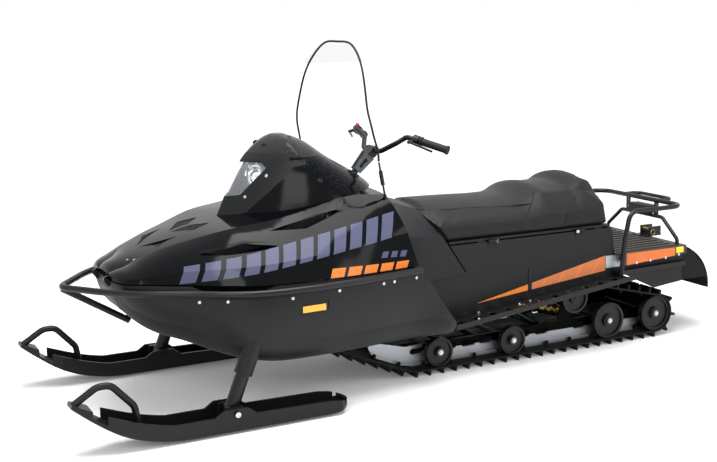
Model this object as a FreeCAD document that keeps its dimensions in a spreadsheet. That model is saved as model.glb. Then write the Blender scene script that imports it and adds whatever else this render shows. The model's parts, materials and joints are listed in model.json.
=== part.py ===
import FreeCAD, Part
import Sketcher
import math
import os

V = FreeCAD.Vector

# Driving sizes in millimetres. Front faces -Y, +X is the machine's left, the floor is z = 0.
SIZES = {
    # Track loop, its lugs and the wheels it runs round
    "track_width": 500.0,
    "belt_thick": 8.0,
    "lug_height": 22.0,
    "lug_pitch": 64.0,
    "lug_thick": 12.0,
    "rear_idler_along": 1245.0,
    "rear_idler_radius": 84.0,
    "drive_along": -468.0,
    "drive_up": 285.0,
    "drive_radius": 80.0,
    "ramp_foot_along": -40.0,
    "ramp_bend_radius": 190.0,
    "roller_along": 776.0,
    "roller_up": 243.0,
    "roller_radius": 70.0,
    "bogie_front_along": 64.0,
    "bogie_mid_along": 439.0,
    "bogie_rear_along": 970.0,
    "bogie_radius": 64.0,
    "wheel_width": 32.0,
    "wheel_outer_face": 246.0,
    "axle_radius": 10.0,
    "run_gap": 0.3,
    "guide_height": 20.0,
    "guide_offset": 186.0,
    "guide_width": 16.0,
    "lug_middle": 170.0,
    "lug_gap": 14.0,
    # Slide rails
    "rail_offset": 165.0,
    "rail_thick": 12.0,
    "rail_low": 46.0,
    "rail_high": 132.0,
    "rail_rear": 1275.0,
    "rail_nose_along": -235.0,
    "slider_width": 30.0,
    "arm_low_front": 140.0,
    "arm_high_front": -200.0,
    "arm_up_front": 278.0,
    "arm_low_rear": 640.0,
    "arm_high_rear": 430.0,
    "arm_up_rear": 250.0,
    "spring_low_front": 300.0,
    "spring_low_rear": 900.0,
    # Tunnel, boards and bed
    "tunnel_half": 265.0,
    "tunnel_top": 436.0,
    "tunnel_front": -585.0,
    "tunnel_rear": 1380.0,
    "skirt_low": 246.0,
    "sheet": 3.0,
    "board_front": 61.0,
    "board_front_up": 245.0,
    "board_rear": 1000.0,
    "board_rear_up": 353.0,
    "flange_edge": 292.0,
    "board_edge": 392.0,
    "lip_height": 22.0,
    "deck_front": 975.0,
    "deck_up": 442.0,
    "deck_half": 292.0,
    "deck_side": 58.0,
    "deck_rib": 6.0,
    # Seat, its box and the console
    "seat_hinge_up": 566.0,
    "box_half": 270.0,
    "box_rear": 973.0,
    "box_wall": 4.0,
    "box_top": 560.0,
    "pan_rear": 941.0,
    "seat_rest_front": 240.0,
    "seat_rest_rear": 860.0,
    "hinge_front": 288.0,
    "hinge_rear": 752.0,
    "hinge_leaf": 21.0,
    "seat_pan_thick": 10.0,
    "hinge_length": 44.0,
    "knuckle": 15.0,
    "hinge_out": 6.2,
    "hinge_drop": 3.0,
    "curl_radius": 5.5,
    "hinge_pin": 2.5,
    # Hull and hood
    "shell": 5.0,
    "seam_front_up": 548.0,
    "seam_rear_up": 531.0,
    "hood_gap": 6.0,
    "hood_pivot_along": -1318.0,
    "hood_pivot_up": 546.0,
    "hood_pivot_side": 82.0,
    "hood_pin": 4.0,
    "notch_half": 70.0,
    "notch_front": -350.0,
    # Engine block
    "engine_half": 170.0,
    "engine_front": -960.0,
    "engine_rear": -640.0,
    "engine_low": 285.0,
    "engine_high": 509.0,
    # Bumper
    "bumper_radius": 13.0,
    "bumper_apex_along": -1469.0,
    "bumper_up": 519.0,
    "bumper_clear": 7.0,
    "brace_rear": -1212.0,
    # Skis and struts
    "ski_stance": 910.0,
    "ski_width": 140.0,
    "ski_bolt_along": -965.0,
    "ski_bolt_up": 78.0,
    "ski_bolt_radius": 6.0,
    "ski_floor_up": 12.0,
    "ski_floor_thick": 14.0,
    "ski_wall": 10.0,
    "ski_loop_radius": 13.0,
    "caster": 22.0,
    "strut_radius": 27.0,
    "sleeve_radius": 36.0,
    "sleeve_low": 140.0,
    "sleeve_top": 400.0,
    "strut_top": 370.0,
    "pin_fit": 0.05,
    # Steering
    "post_radius": 14.0,
    "post_tilt": 44.0,
    "post_low_up": 560.0,
    "post_bare": 128.0,
    "riser_half": 15.0,
    "clamp_up": 950.0,
    "clamp_along": -134.0,
    "bar_radius": 11.0,
    "grip_radius": 16.0,
    "grip_length": 125.0,
    "bar_end_side": 380.0,
    "bar_end_along": 23.0,
    "bar_end_up": 984.0,
    # Rear rack
    "rack_radius": 11.0,
    "rack_side": 304.0,
    "rack_foot_along": 986.0,
    "rack_up": 630.0,
    "rack_rear_along": 1346.0,
    "hoop_radius": 9.0,
    "lamp_drop": 66.0,
    "hitch_bore": 9.0,
    "hitch_reach": 22.0,
    # Side reflectors in their frames, and those of the bed
    "reflector_along": -634.0,
    "reflector_up": 436.0,
    "reflector_long": 98.0,
    "reflector_high": 25.0,
    "reflector_deep": 2.5,
    "bed_reflector_along": 1317.0,
    # Windshield
    "glass_thick": 4.0,
    "stay_radius": 4.0,
    # Snow flap
    "flap_thick": 7.0,
    "flap_half": 250.0,
}


class Size:
    """A length kept both as a sheet expression and as its present number."""

    def __init__(self, text, value):
        self.text = text
        self.value = value

    def _join(self, other, sign, value):
        text = other.text if isinstance(other, Size) else repr(float(other))
        return Size("(%s %s %s)" % (self.text, sign, text), value)

    def __add__(self, other):
        return self._join(other, "+", self.value + number(other))

    def __sub__(self, other):
        return self._join(other, "-", self.value - number(other))

    def __mul__(self, other):
        return self._join(other, "*", self.value * number(other))

    def __truediv__(self, other):
        return self._join(other, "/", self.value / number(other))

    def __neg__(self):
        return Size("(-%s)" % self.text, -self.value)


def number(length):
    return length.value if isinstance(length, Size) else float(length)


def size(name):
    return Size("sizes.%s" % name, SIZES[name])


def n(name):
    return SIZES[name]


doc = FreeCAD.newDocument("snowmobile")
sheet = doc.addObject("Spreadsheet::Sheet", "sizes")
for row, (alias, amount) in enumerate(SIZES.items(), start=1):
    sheet.set("A%d" % row, alias.replace("_", " "))
    sheet.set("B%d" % row, repr(amount))
    sheet.setAlias("B%d" % row, alias)
doc.recompute()

NODES = {}


# Small builders shared by the sub-parts

def bind(obj, prop, length):
    if isinstance(length, Size):
        obj.setExpression(prop, length.text)
    else:
        setattr(obj, prop, float(length))


def place(obj, at, axis=None, angle=0.0):
    if axis is not None:
        obj.Placement = FreeCAD.Placement(V(0, 0, 0), FreeCAD.Rotation(V(*axis), angle))
    for letter, length in zip("xyz", at):
        if isinstance(length, Size):
            obj.setExpression("Placement.Base.%s" % letter, length.text)
        else:
            base = obj.Placement.Base
            setattr(base, letter, float(length))
            obj.Placement.Base = base
    return obj


def box(name, low, span):
    made = doc.addObject("Part::Box", name)
    for prop, length in zip(("Length", "Width", "Height"), span):
        bind(made, prop, length)
    return place(made, low)


TURNS = {"x": ((0, 1, 0), 90.0), "y": ((1, 0, 0), -90.0), "z": (None, 0.0)}


def rod(name, start, radius, length, along="x"):
    made = doc.addObject("Part::Cylinder", name)
    bind(made, "Radius", radius)
    bind(made, "Height", length)
    axis, angle = TURNS[along]
    return place(made, start, axis, angle)


def cut(name, base, tool):
    made = doc.addObject("Part::Cut", name)
    made.Base = base
    made.Tool = tool
    return made


def fuse(name, pieces):
    made = doc.addObject("Part::MultiFuse", name)
    made.Shapes = pieces
    return made


def group(name, pieces):
    made = doc.addObject("Part::Compound", name)
    made.Links = pieces
    return made


def solid(name, shape):
    made = doc.addObject("Part::Feature", name)
    made.Shape = shape
    return made


def keep(label, made):
    made.Label = label
    NODES[label] = made
    return made


def side_profile(name, points, half_width, middle=0.0):
    """Pad of an outline drawn in the YZ plane, as wide as twice half_width about x = middle."""
    body = doc.addObject("PartDesign::Body", name)
    plane = [f for f in body.Origin.OriginFeatures if f.Role == "YZ_Plane"][0]
    sketch = body.newObject("Sketcher::SketchObject", name + "_outline")
    sketch.AttachmentSupport = [(plane, "")]
    sketch.MapMode = "FlatFace"
    corners = [V(number(a), number(b), 0) for a, b in points]
    lines = [Part.LineSegment(a, b) for a, b in zip(corners, corners[1:] + corners[:1])]
    sketch.addGeometry(lines, False)
    for index in range(len(lines)):
        after = (index + 1) % len(lines)
        sketch.addConstraint(Sketcher.Constraint("Coincident", index, 2, after, 1))
    for index, (a, b) in enumerate(points):
        for kind, length in (("DistanceX", a), ("DistanceY", b)):
            datum = sketch.addConstraint(Sketcher.Constraint(kind, -1, 1, index, 1, number(length)))
            if isinstance(length, Size):
                sketch.setExpression("Constraints[%d]" % datum, length.text)
    pad = body.newObject("PartDesign::Pad", name + "_pad")
    pad.Profile = sketch
    pad.Midplane = True
    bind(pad, "Length", half_width * 2 if isinstance(half_width, Size) else 2 * half_width)
    if number(middle) != 0.0:
        place(body, (middle, 0, 0))
    return body


# A corner whose arc would be shorter than this each way is as good as straight
SHORTEST_BEND = 8.0


def bend_path(points, radii):
    """Wire of straight runs joined by tangent arcs of the given radii at the inner points."""
    points = [V(*p) for p in points]
    edges = []
    start = points[0]
    for index in range(1, len(points) - 1):
        corner = points[index]
        back = (points[index - 1] - corner).normalize()
        ahead = (points[index + 1] - corner).normalize()
        half = back.getAngle(ahead) / 2.0
        reach = radii[index - 1] / math.tan(half)
        if reach < SHORTEST_BEND:
            continue
        first = corner + back * reach
        last = corner + ahead * reach
        middle = (back + ahead).normalize()
        sag = radii[index - 1] / math.sin(half) - radii[index - 1]
        if (first - start).Length > 0.001:
            edges.append(Part.makeLine(start, first))
        edges.append(Part.Arc(first, corner + middle * sag, last).toShape())
        start = last
    edges.append(Part.makeLine(start, points[-1]))
    return Part.Wire(edges)


def tube(name, points, radii, radius):
    """Round bar swept along runs and arcs, its section bound to the sheet."""
    path = bend_path(points, radii)
    spine = solid(name + "_path", path)
    ring = doc.addObject("Part::Circle", name + "_ring")
    bind(ring, "Radius", radius)
    heading = V(*points[1]) - V(*points[0])
    turn = FreeCAD.Rotation(V(0, 0, 1), heading)
    ring.Placement = FreeCAD.Placement(V(*points[0]), turn)
    made = doc.addObject("Part::Sweep", name)
    made.Sections = [ring]
    made.Spine = (spine, ["Edge%d" % (i + 1) for i in range(len(path.Edges))])
    made.Solid = True
    made.Frenet = False
    made.Transition = "Right corner"
    return made


def check_and_write():
    """Test every object and every sub-part, then write one file for each sub-part."""
    doc.recompute()
    for made in doc.Objects:
        if "Invalid" in made.State or "Error" in made.State:
            raise RuntimeError("%s has failed" % made.Name)
    os.makedirs("parts", exist_ok=True)
    for label, made in NODES.items():
        shape = made.Shape
        if shape.isNull() or not shape.isValid() or not shape.Solids:
            raise RuntimeError("%s has no valid solid" % label)
        shape.exportStep("parts/%s.step" % label)


def mirrored(shape):
    return shape.mirror(V(0, 0, 0), V(1, 0, 0))


def prism(points, start, end, across="y"):
    """Straight prism of an outline given as (x, up) pairs, or (along, up) pairs across x."""
    if across == "y":
        corners = [V(a, start, b) for a, b in points]
        way = V(0, end - start, 0)
    else:
        corners = [V(start, a, b) for a, b in points]
        way = V(end - start, 0, 0)
    return Part.Face(Part.makePolygon(corners + corners[:1])).extrude(way)


def tilts(places, values):
    """Tilt of a smooth curve at each of its points, never so steep that it overshoots."""
    steps = [(d - c) / (b - a) for a, b, c, d in zip(places, places[1:], values, values[1:])]
    inner = [2.0 * p * q / (p + q) if p * q > 0 else 0.0 for p, q in zip(steps, steps[1:])]
    return [steps[0]] + inner + [steps[-1]]


def resampled(rows, places):
    """Rows of a station table read at other places along the machine, on smooth curves."""
    known = [row[0] for row in rows]
    columns = list(zip(*rows))[1:]
    slopes = [tilts(known, column) for column in columns]
    made = []
    for at in places:
        k = max([0] + [i for i in range(len(known) - 1) if known[i] <= at])
        span = known[k + 1] - known[k]
        t = (at - known[k]) / span
        values = [column[k] * (1 + 2 * t) * (1 - t) ** 2 + column[k + 1] * t * t * (3 - 2 * t)
                  + span * (slope[k] * t * (1 - t) ** 2 - slope[k + 1] * t * t * (1 - t))
                  for column, slope in zip(columns, slopes)]
        made.append((at,) + tuple(values))
    return made


# Tunnel: an upside-down channel over the track, and the boards and bed it carries

def board_up(along):
    """Height of the running board's edge at a place along the machine."""
    rise = (n("board_rear_up") - n("board_front_up")) / (n("board_rear") - n("board_front"))
    return n("board_front_up") + rise * (along - n("board_front"))


def make_tunnel():
    front = size("tunnel_front")
    rear = size("tunnel_rear")
    top = size("tunnel_top")
    low_front = size("board_front_up") - 10
    skirt = size("skirt_low")
    outer = side_profile("tunnel_outer", [
        (front, top - 60),
        (front + 70, top),
        (rear, top),
        (rear, skirt + 16),
        (rear - 168, skirt),
        (rear - 288, skirt + 57),
        (size("board_rear"), size("board_rear_up") - 4),
        (size("board_front"), size("board_front_up") - 4),
        (size("board_front") - 60, low_front - 20),
        (front + 200, low_front - 40),
    ], size("tunnel_half"))
    inner = side_profile("tunnel_inner", [
        (front - 1, top - 62),
        (front + 70, top - size("sheet")),
        (rear + 1, top - size("sheet")),
        (rear + 1, size("board_front_up") - 60),
        (front - 1, size("board_front_up") - 60),
    ], size("tunnel_half") - size("sheet"))
    return keep("tunnel", cut("tunnel_channel", outer, inner))


def make_boards():
    slope = math.degrees(math.atan2(n("board_rear_up") - n("board_front_up"),
                                    n("board_rear") - n("board_front")))
    long = n("board_rear") - n("board_front")
    inner = n("tunnel_half") + n("run_gap")
    outer = n("board_edge")
    thick = n("sheet")
    lip = n("lip_height")
    wide = outer - inner
    plate = Part.makeBox(wide, long / math.cos(math.radians(slope)), thick)
    rim = Part.makeBox(thick, long / math.cos(math.radians(slope)), lip, V(wide - thick, 0, 0))
    tab = Part.makeBox(thick, long / math.cos(math.radians(slope)), lip, V(0, 0, 0))
    board = plate.fuse(rim).fuse(tab)
    holes = []
    count = 11
    for index in range(count):
        at = 60 + index * (long - 120) / (count - 1)
        slot = Part.makeCylinder(13, 40, V(wide / 2 - 22, at, -20))
        slot = slot.fuse(Part.makeCylinder(13, 40, V(wide / 2 + 22, at, -20)))
        slot = slot.fuse(Part.makeBox(44, 26, 40, V(wide / 2 - 22, at - 13, -20)))
        holes.append(slot)
    board = board.cut(holes)
    board.rotate(V(0, 0, 0), V(1, 0, 0), slope)
    board.translate(V(inner, n("board_front"), n("board_front_up") - lip + 2))
    rear = n("tunnel_rear")
    start = n("board_rear") - 30
    flange = prism([(start, 334), (rear - 2, 340), (rear - 2, 362), (start, 354)], inner, n("flange_edge"),
                   "x")
    board = board.fuse(flange)
    keep("running_board_left", solid("board_left", board))
    keep("running_board_right", solid("board_right", mirrored(board)))


def make_deck():
    front = size("deck_front")
    rear = size("tunnel_rear")
    top = size("deck_up")
    thick = size("sheet")
    half = size("deck_half")
    plate = box("deck_plate", (-half, front, size("tunnel_top")), (half * 2, rear - front, thick))
    pieces = [plate]
    count = 13
    for index in range(count):
        offset = (2.0 * index / (count - 1) - 1.0)
        rib = box("deck_rib_%d" % index, ((half - 22) * offset - 6, front + 12, size("tunnel_top") + 1),
                  (12, rear - front - 62, size("deck_rib") + 1))
        pieces.append(rib)
    for side in (-1, 1):
        skirt = side_profile("deck_side_%s" % ("left" if side > 0 else "right"), [
            (front, size("tunnel_top") + thick),
            (rear, size("tunnel_top") + thick),
            (rear, size("tunnel_top") - size("deck_side") + 20),
            (front + 45, size("tunnel_top") - size("deck_side")),
            (front, size("tunnel_top") - 20),
        ], size("sheet") / 2, (half - thick / 2) * side)
        pieces.append(skirt)
    return keep("cargo_deck", fuse("deck", pieces))


def make_flap():
    wide = n("flap_half")
    thick = n("flap_thick")
    gap = n("run_gap")
    start = n("tunnel_rear") + gap
    top = n("tunnel_top")
    route = [V(0, start, top - 0.5), V(0, start + 60, top - 28), V(0, start + 135, top - 90),
             V(0, start + 172, top - 160), V(0, start + 187.2 - thick, 205)]
    curve = Part.BSplineCurve()
    curve.interpolate(route)
    outer = curve.toShape()
    shifted = Part.BSplineCurve()
    shifted.interpolate([p + V(0, thick * f, thick * (1 - f)) * -1 for p, f in
                         zip(route, (0.0, 0.3, 0.7, 0.9, 1.0))])
    inner = shifted.toShape()
    face = Part.Face(Part.Wire([outer, Part.makeLine(outer.Vertexes[-1].Point, inner.Vertexes[-1].Point),
                                inner, Part.makeLine(inner.Vertexes[0].Point, outer.Vertexes[0].Point)]))
    apron = face.extrude(V(2 * wide, 0, 0))
    apron.translate(V(-wide, 0, 0))
    pieces = [apron]
    for side in (-1, 1):
        wing = Part.Face(Part.makePolygon([
            V(side * wide, start + 60, top - 34), V(side * wide, start + 140, top - 110),
            V(side * wide, start + 172, 260), V(side * wide, start + 20, 262),
            V(side * wide, start, 300), V(side * wide, start, top - 34),
            V(side * wide, start + 60, top - 34)]))
        pieces.append(wing.extrude(V(-side * thick, 0, 0)))
    return keep("snow_flap", solid("flap", pieces[0].fuse(pieces[1:])))


# Seat box, console and the padded seat that hinges along the left lower edge

SEAT_SEAM = ((183.0, 437.0), (-18.0, 740.0))


def make_seat_box():
    """Open tub on the tunnel, its front wall slanted along the console's seam."""
    half = size("box_half")
    low = size("tunnel_top")
    top = size("box_top")
    wall = size("box_wall")
    rear = size("box_rear")
    outer = side_profile("seat_box_outer", [
        (SEAT_SEAM[0][0] + 1, low), (rear, low), (rear - 20, top), (102, top)], half)
    inner = side_profile("seat_box_inner", [
        (SEAT_SEAM[0][0] + 8, low + wall), (rear - wall, low + wall),
        (rear - 20 - wall, top + 5), (112, top + 5)], half - wall)
    return keep("seat_base", cut("seat_box", outer, inner))


def arch(half_low, half_high, low, high, place_at, crown=12.0, corner=0.55):
    """Closed arch-shaped wire across the machine; place_at turns (x, height) into a point."""
    rise = high - low
    knee = low + rise * corner
    right = [(half_low, low), (half_low * 0.97 + half_high * 0.03, knee), (half_high, high - crown * 1.6)]
    p_low_r, p_knee_r, p_top_r = [place_at(*p) for p in right]
    p_low_l, p_knee_l, p_top_l = [place_at(-x, z) for x, z in right]
    crown_top = place_at(0, high)
    edges = [
        Part.makeLine(p_low_l, p_low_r),
        Part.makeLine(p_low_r, p_knee_r),
        Part.makeLine(p_knee_r, p_top_r),
        Part.Arc(p_top_r, crown_top, p_top_l).toShape(),
        Part.makeLine(p_top_l, p_knee_l),
        Part.makeLine(p_knee_l, p_low_l),
    ]
    return Part.Wire(edges)


def seam_along(up):
    """Where the seat's front seam lies at a height."""
    (y0, z0), (y1, z1) = SEAT_SEAM
    return y0 + (y1 - y0) * (up - z0) / (z1 - z0)


def hood_rear_along(up):
    """Where the hood's rear edge lies at a height: a plane that leans forward going up."""
    return -128.0 - (up - 478.0) * 0.305


def make_console():
    low = n("tunnel_top")
    gap = n("hood_gap")

    def front(x, z):
        return V(x, hood_rear_along(z) + gap, z)

    def rear(x, z):
        return V(x, seam_along(z) - gap, z)

    def middle(x, z):
        share = 0.45
        return front(x, z) * (1 - share) + rear(x, z) * share

    skin = Part.makeLoft([arch(388, 318, low, 812, front), arch(312, 236, low, 776, middle),
                          arch(270, 168, low, 738, rear)], True, False)
    hollow = Part.makeLoft([arch(382, 312, low - 6, 806, lambda x, z: front(x, z) - V(0, 1, 0)),
                            arch(306, 230, low - 6, 770, middle),
                            arch(264, 162, low - 6, 732, lambda x, z: rear(x, z) - V(0, 6, 0))], True, False)
    shell = skin.cut(hollow)
    post = Part.makeBox(70, 140, 90, V(-35, -330, 735))
    return keep("console", solid("console_shell", shell.cut(post)))


def seat_section(along, half, low, high, shoulder):
    """Closed seat section across the machine at one place along it."""
    edge_up = low + (high - low) * 0.42
    points = [(half, low), (half, edge_up), (shoulder, high - 30)]
    right = [V(x, along, z) for x, z in points]
    left = [V(-x, along, z) for x, z in points]
    return Part.Wire([
        Part.makeLine(left[0], right[0]),
        Part.makeLine(right[0], right[1]),
        Part.makeLine(right[1], right[2]),
        Part.Arc(right[2], V(0, along, high), left[2]).toShape(),
        Part.makeLine(left[2], left[1]),
        Part.makeLine(left[1], left[0]),
    ])


# Along, half width, height of the middle, half width of the shoulder
SEAT_STATIONS = (
    (-60.0, 262.0, 728.0, 178.0),
    (55.0, 266.0, 727.0, 180.0),
    (158.0, 268.0, 725.0, 182.0),
    (281.0, 270.0, 722.0, 182.0),
    (406.0, 270.0, 718.0, 180.0),
    (525.0, 270.0, 721.0, 184.0),
    (567.0, 270.0, 740.0, 186.0),
    (604.0, 270.0, 755.0, 188.0),
    (665.0, 270.0, 758.0, 188.0),
    (732.0, 270.0, 753.0, 186.0),
    (785.0, 269.0, 763.0, 182.0),
    (839.0, 268.0, 790.0, 176.0),
    (895.0, 266.0, 801.0, 172.0),
    (960.0, 264.0, 797.0, 168.0),
)


def make_seat():
    """Padded seat on its pan; the pan carries knuckles on the left and pads that rest on the box."""
    low = n("seat_hinge_up") + n("seat_pan_thick") + n("run_gap")
    places = [SEAT_STATIONS[0][0] + 51.0 * index for index in range(21)]
    wires = [seat_section(y, half, low, high, shoulder)
             for y, half, high, shoulder in resampled(SEAT_STATIONS, places)]
    pad = Part.makeLoft(wires, True, False)
    gap = 0.5
    front = prism([(-200, low - 20), (seam_along(low - 20) + gap, low - 20), (seam_along(900) + gap, 900),
                   (-200, 900)], -400, 400, "x")
    rear = prism([(952, low - 20), (1100, low - 20), (1100, 900), (862, 900)], -400, 400, "x")
    pad = pad.cut([front, rear])
    keep("seat_cushion", solid("cushion", pad))
    half = size("box_half")
    thick = size("seat_pan_thick")
    start = seam_along(n("seat_hinge_up")) + 2.0
    end = size("pan_rear")
    pan = side_profile("seat_pan_plate", [
        (start, size("seat_hinge_up")), (end, size("seat_hinge_up")),
        (end, size("seat_hinge_up") + thick), (start, size("seat_hinge_up") + thick)], half - 4)
    pieces = [pan]
    axis_x, axis_z = hinge_axis()
    for index, along in enumerate(hinges_along()):
        middle = along + n("hinge_length") / 2 - n("knuckle") / 2
        leaf = Part.makeBox(axis_x - 256, n("knuckle"), 3, V(256, middle, axis_z + 2.5))
        knuckle = Part.makeCylinder(n("curl_radius"), n("knuckle"), V(axis_x, middle, axis_z), V(0, 1, 0))
        bore = Part.makeCylinder(n("hinge_pin") + n("pin_fit"), 40, V(axis_x, middle - 12, axis_z), V(0, 1,
                                                                                                      0))
        pieces.append(solid("seat_knuckle_%d" % index, leaf.fuse(knuckle).cut(bore)))
    rim = n("box_top") + n("run_gap")
    for index, along in enumerate((size("seat_rest_front"), size("seat_rest_rear"))):
        for side in (-1, 1):
            pieces.append(box("seat_pad_%d_%s" % (index, "left" if side > 0 else "right"),
                              (side * 257.5 - 9, along, rim), (18, 34, size("seat_hinge_up") - rim + 1)))
    keep("seat_pan", fuse("seat_pan_whole", pieces))


def hinges_along():
    """Where each of the seat's two hinges begins."""
    return n("hinge_front"), n("hinge_rear")


def hinge_axis():
    """Across and up of the line the seat turns about."""
    return n("box_half") + n("hinge_out"), n("seat_hinge_up") - n("hinge_drop")


def make_seat_hinges():
    """Curled leaves on the box's left wall, with the pins that the seat's knuckles turn on."""
    pieces = []
    axis_x, axis_z = hinge_axis()
    long = n("hinge_length")
    tall = n("hinge_leaf")
    wall = n("box_half") + n("run_gap")
    end = (long - n("knuckle")) / 2 - n("run_gap")
    for along in hinges_along():
        leaf = Part.makeBox(3, long, tall, V(wall, along, axis_z - tall - 1))
        curls = [Part.makeCylinder(n("curl_radius"), end, V(axis_x, y, axis_z), V(0, 1, 0))
                 for y in (along, along + long - end)]
        pin = Part.makeCylinder(n("hinge_pin"), long, V(axis_x, along, axis_z), V(0, 1, 0))
        heads = [Part.makeCylinder(4, 2.5, V(wall + 2.9, along + y, axis_z - tall * 0.6), V(1, 0, 0))
                 for y in (10, long - 10)]
        clear = Part.makeBox(12, n("knuckle") + 2 * n("run_gap"), 14,
                             V(wall, along + end, axis_z - n("curl_radius") - 0.5))
        pieces.append(leaf.fuse(curls).cut(clear).fuse([pin] + heads))
    keep("seat_hinges", solid("hinge_leaves", Part.makeCompound(pieces)))


make_tunnel()
make_boards()
make_deck()
make_flap()
make_seat_box()
make_console()
make_seat()
make_seat_hinges()


# Hull: an open-topped pan whose sides stand round the engine and the front of the track

def seam_up(along):
    """Height of the parting line between hull and hood."""
    share = (along + 1310.0) / 1210.0
    return n("seam_front_up") + (n("seam_rear_up") - n("seam_front_up")) * share


# Along, half width at the seam, half width at mid height, low corner, bottom half width, bottom height
HULL_STATIONS = (
    (-1306.0, 150.0, 140.0, 110.0, 70.0, 506.0),
    (-1288.0, 216.0, 205.0, 160.0, 105.0, 460.0),
    (-1245.0, 252.0, 246.0, 210.0, 140.0, 400.0),
    (-1160.0, 300.0, 300.0, 262.0, 180.0, 341.0),
    (-1060.0, 362.0, 366.0, 326.0, 235.0, 306.0),
    (-960.0, 428.0, 456.0, 420.0, 290.0, 268.0),
    (-880.0, 472.0, 502.0, 492.0, 356.0, 248.0),
    (-790.0, 496.0, 512.0, 492.0, 372.0, 225.0),
    (-640.0, 502.0, 506.0, 474.0, 370.0, 212.0),
    (-430.0, 486.0, 484.0, 450.0, 362.0, 209.0),
    (-220.0, 452.0, 450.0, 422.0, 352.0, 210.0),
    (80.0, 400.0, 400.0, 384.0, 340.0, 208.0),
)

# Distances behind the nose at which the sections of hull and hood are drawn, closer where it curves
NOSE_STEPS = (0.0, 11.0, 27.0, 49.0, 78.0, 115.0, 160.0, 216.0, 284.0, 362.0, 450.0, 548.0, 656.0, 774.0,
              902.0, 1040.0, 1170.0)


def stations_along(table):
    """Places of the drawn sections, from the table's first to its last."""
    return [table[0][0] + step for step in NOSE_STEPS] + [table[-1][0]]


def hull_section(along, top_half, mid_half, low_half, floor_half, floor, inset):
    top = seam_up(along) - 3.0
    lid = top + (20.0 if inset > 0 else 0.0)
    corner_up = floor + (top - floor) * 0.28
    mid_up = (top + corner_up) / 2.0
    right = [V(top_half - inset, along, lid), V(mid_half - inset, along, mid_up),
             V(low_half - inset, along, corner_up), V(floor_half - inset * 0.5, along, floor + inset)]
    left = [V(-p.x, p.y, p.z) for p in right]
    elbow_r = V((right[2].x + right[3].x) / 2 + (right[2].x - right[3].x) * 0.22, along,
                (right[2].z + right[3].z) / 2 - (right[2].z - right[3].z) * 0.2)
    elbow_l = V(-elbow_r.x, elbow_r.y, elbow_r.z)
    return Part.Wire([
        Part.makeLine(left[0], right[0]),
        Part.Arc(right[0], right[1], right[2]).toShape(),
        Part.Arc(right[2], elbow_r, right[3]).toShape(),
        Part.makeLine(right[3], left[3]),
        Part.Arc(left[3], elbow_l, left[2]).toShape(),
        Part.Arc(left[2], left[1], left[0]).toShape(),
    ])


def make_hull():
    rows = resampled(HULL_STATIONS, stations_along(HULL_STATIONS))
    outer = Part.makeLoft([hull_section(*row, 0.0) for row in rows], True, False)
    shifted = [(rows[0][0] + n("shell"),) + rows[0][1:]] + rows[1:]
    inner = Part.makeLoft([hull_section(*row, n("shell")) for row in shifted], True, False)
    pan = outer.cut(inner)
    rear = prism([(20, 120), (40, 222), (46, 268), (-34, 382), (-96, 472), (-120, 484), (-135, 565),
                  (300, 565), (300, 120)], -700, 700, "x")
    side = n("tunnel_half") + n("run_gap")
    well = Part.makeBox(2 * side, 900, 500, V(-side, n("tunnel_front") - 40, 100))
    cuts = [rear, well]
    for hand in (-1, 1):
        cuts.append(strut_cylinder(hand, n("sleeve_radius") + n("run_gap"), n("sleeve_low") - 20,
                                   n("sleeve_top") + 60))
        cuts.append(flank_block(outer, hand, n("reflector_long") + 26, n("reflector_high") + 26,
                                n("reflector_deep"), 40.0))
    return keep("hull", solid("belly_pan", pan.cut(cuts)))


def outline_at(shape, along):
    """Points of a shape's outline where a plane across the machine cuts it."""
    points = []
    for wire in shape.slice(V(0, 1, 0), along):
        for edge in wire.Edges:
            points += edge.discretize(80)
    return points


def reach_out(shape, along, up, spread=4.0):
    """How far out a flank stands at a place, within a spread of height."""
    return max(p.x for p in outline_at(shape, along) if abs(p.z - up) <= spread)


def flank_block(skin, hand, long, high, inside, outside):
    """Block at a side reflector's place that follows the flank's slant, between two depths."""
    up = n("reflector_up")
    ends = (n("reflector_along") - long / 2, n("reflector_along") + long / 2)
    front, rear = [reach_out(skin, along, up) for along in ends]
    plan = [V(front - inside, ends[0], up - high / 2), V(rear - inside, ends[1], up - high / 2),
            V(rear + outside, ends[1], up - high / 2), V(front + outside, ends[0], up - high / 2)]
    made = Part.Face(Part.makePolygon(plan + plan[:1])).extrude(V(0, 0, high))
    return made if hand > 0 else mirrored(made)


def make_reflectors():
    """Amber reflectors in the hull's recesses and yellow ones on the bed's side plates."""
    hull = NODES["hull"].Shape
    blocks = [flank_block(hull, hand, n("reflector_long"), n("reflector_high"), -n("run_gap"),
                          n("reflector_deep") + 1.0) for hand in (1, -1)]
    keep("side_reflectors", solid("ambers", Part.makeCompound(blocks)))
    small = Part.makeBox(4, 42, 27, V(n("deck_half") + n("run_gap"), n("bed_reflector_along"), 407))
    keep("bed_reflectors", solid("yellows", Part.makeCompound([small, mirrored(small)])))


def strut_axis():
    """Unit vector up along the strut, leaned back by the caster angle."""
    lean = math.radians(n("caster"))
    return V(0, math.sin(lean), math.cos(lean))


def strut_cylinder(side, radius, start, end):
    """Cylinder about a strut's axis between two distances above the ski bolt."""
    foot = V(side * n("ski_stance") / 2, n("ski_bolt_along"), n("ski_bolt_up"))
    return Part.makeCylinder(radius, end - start, foot + strut_axis() * start, strut_axis())


make_hull()

# Hood: the shell above the parting line, tilting about the straps at the nose

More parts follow.
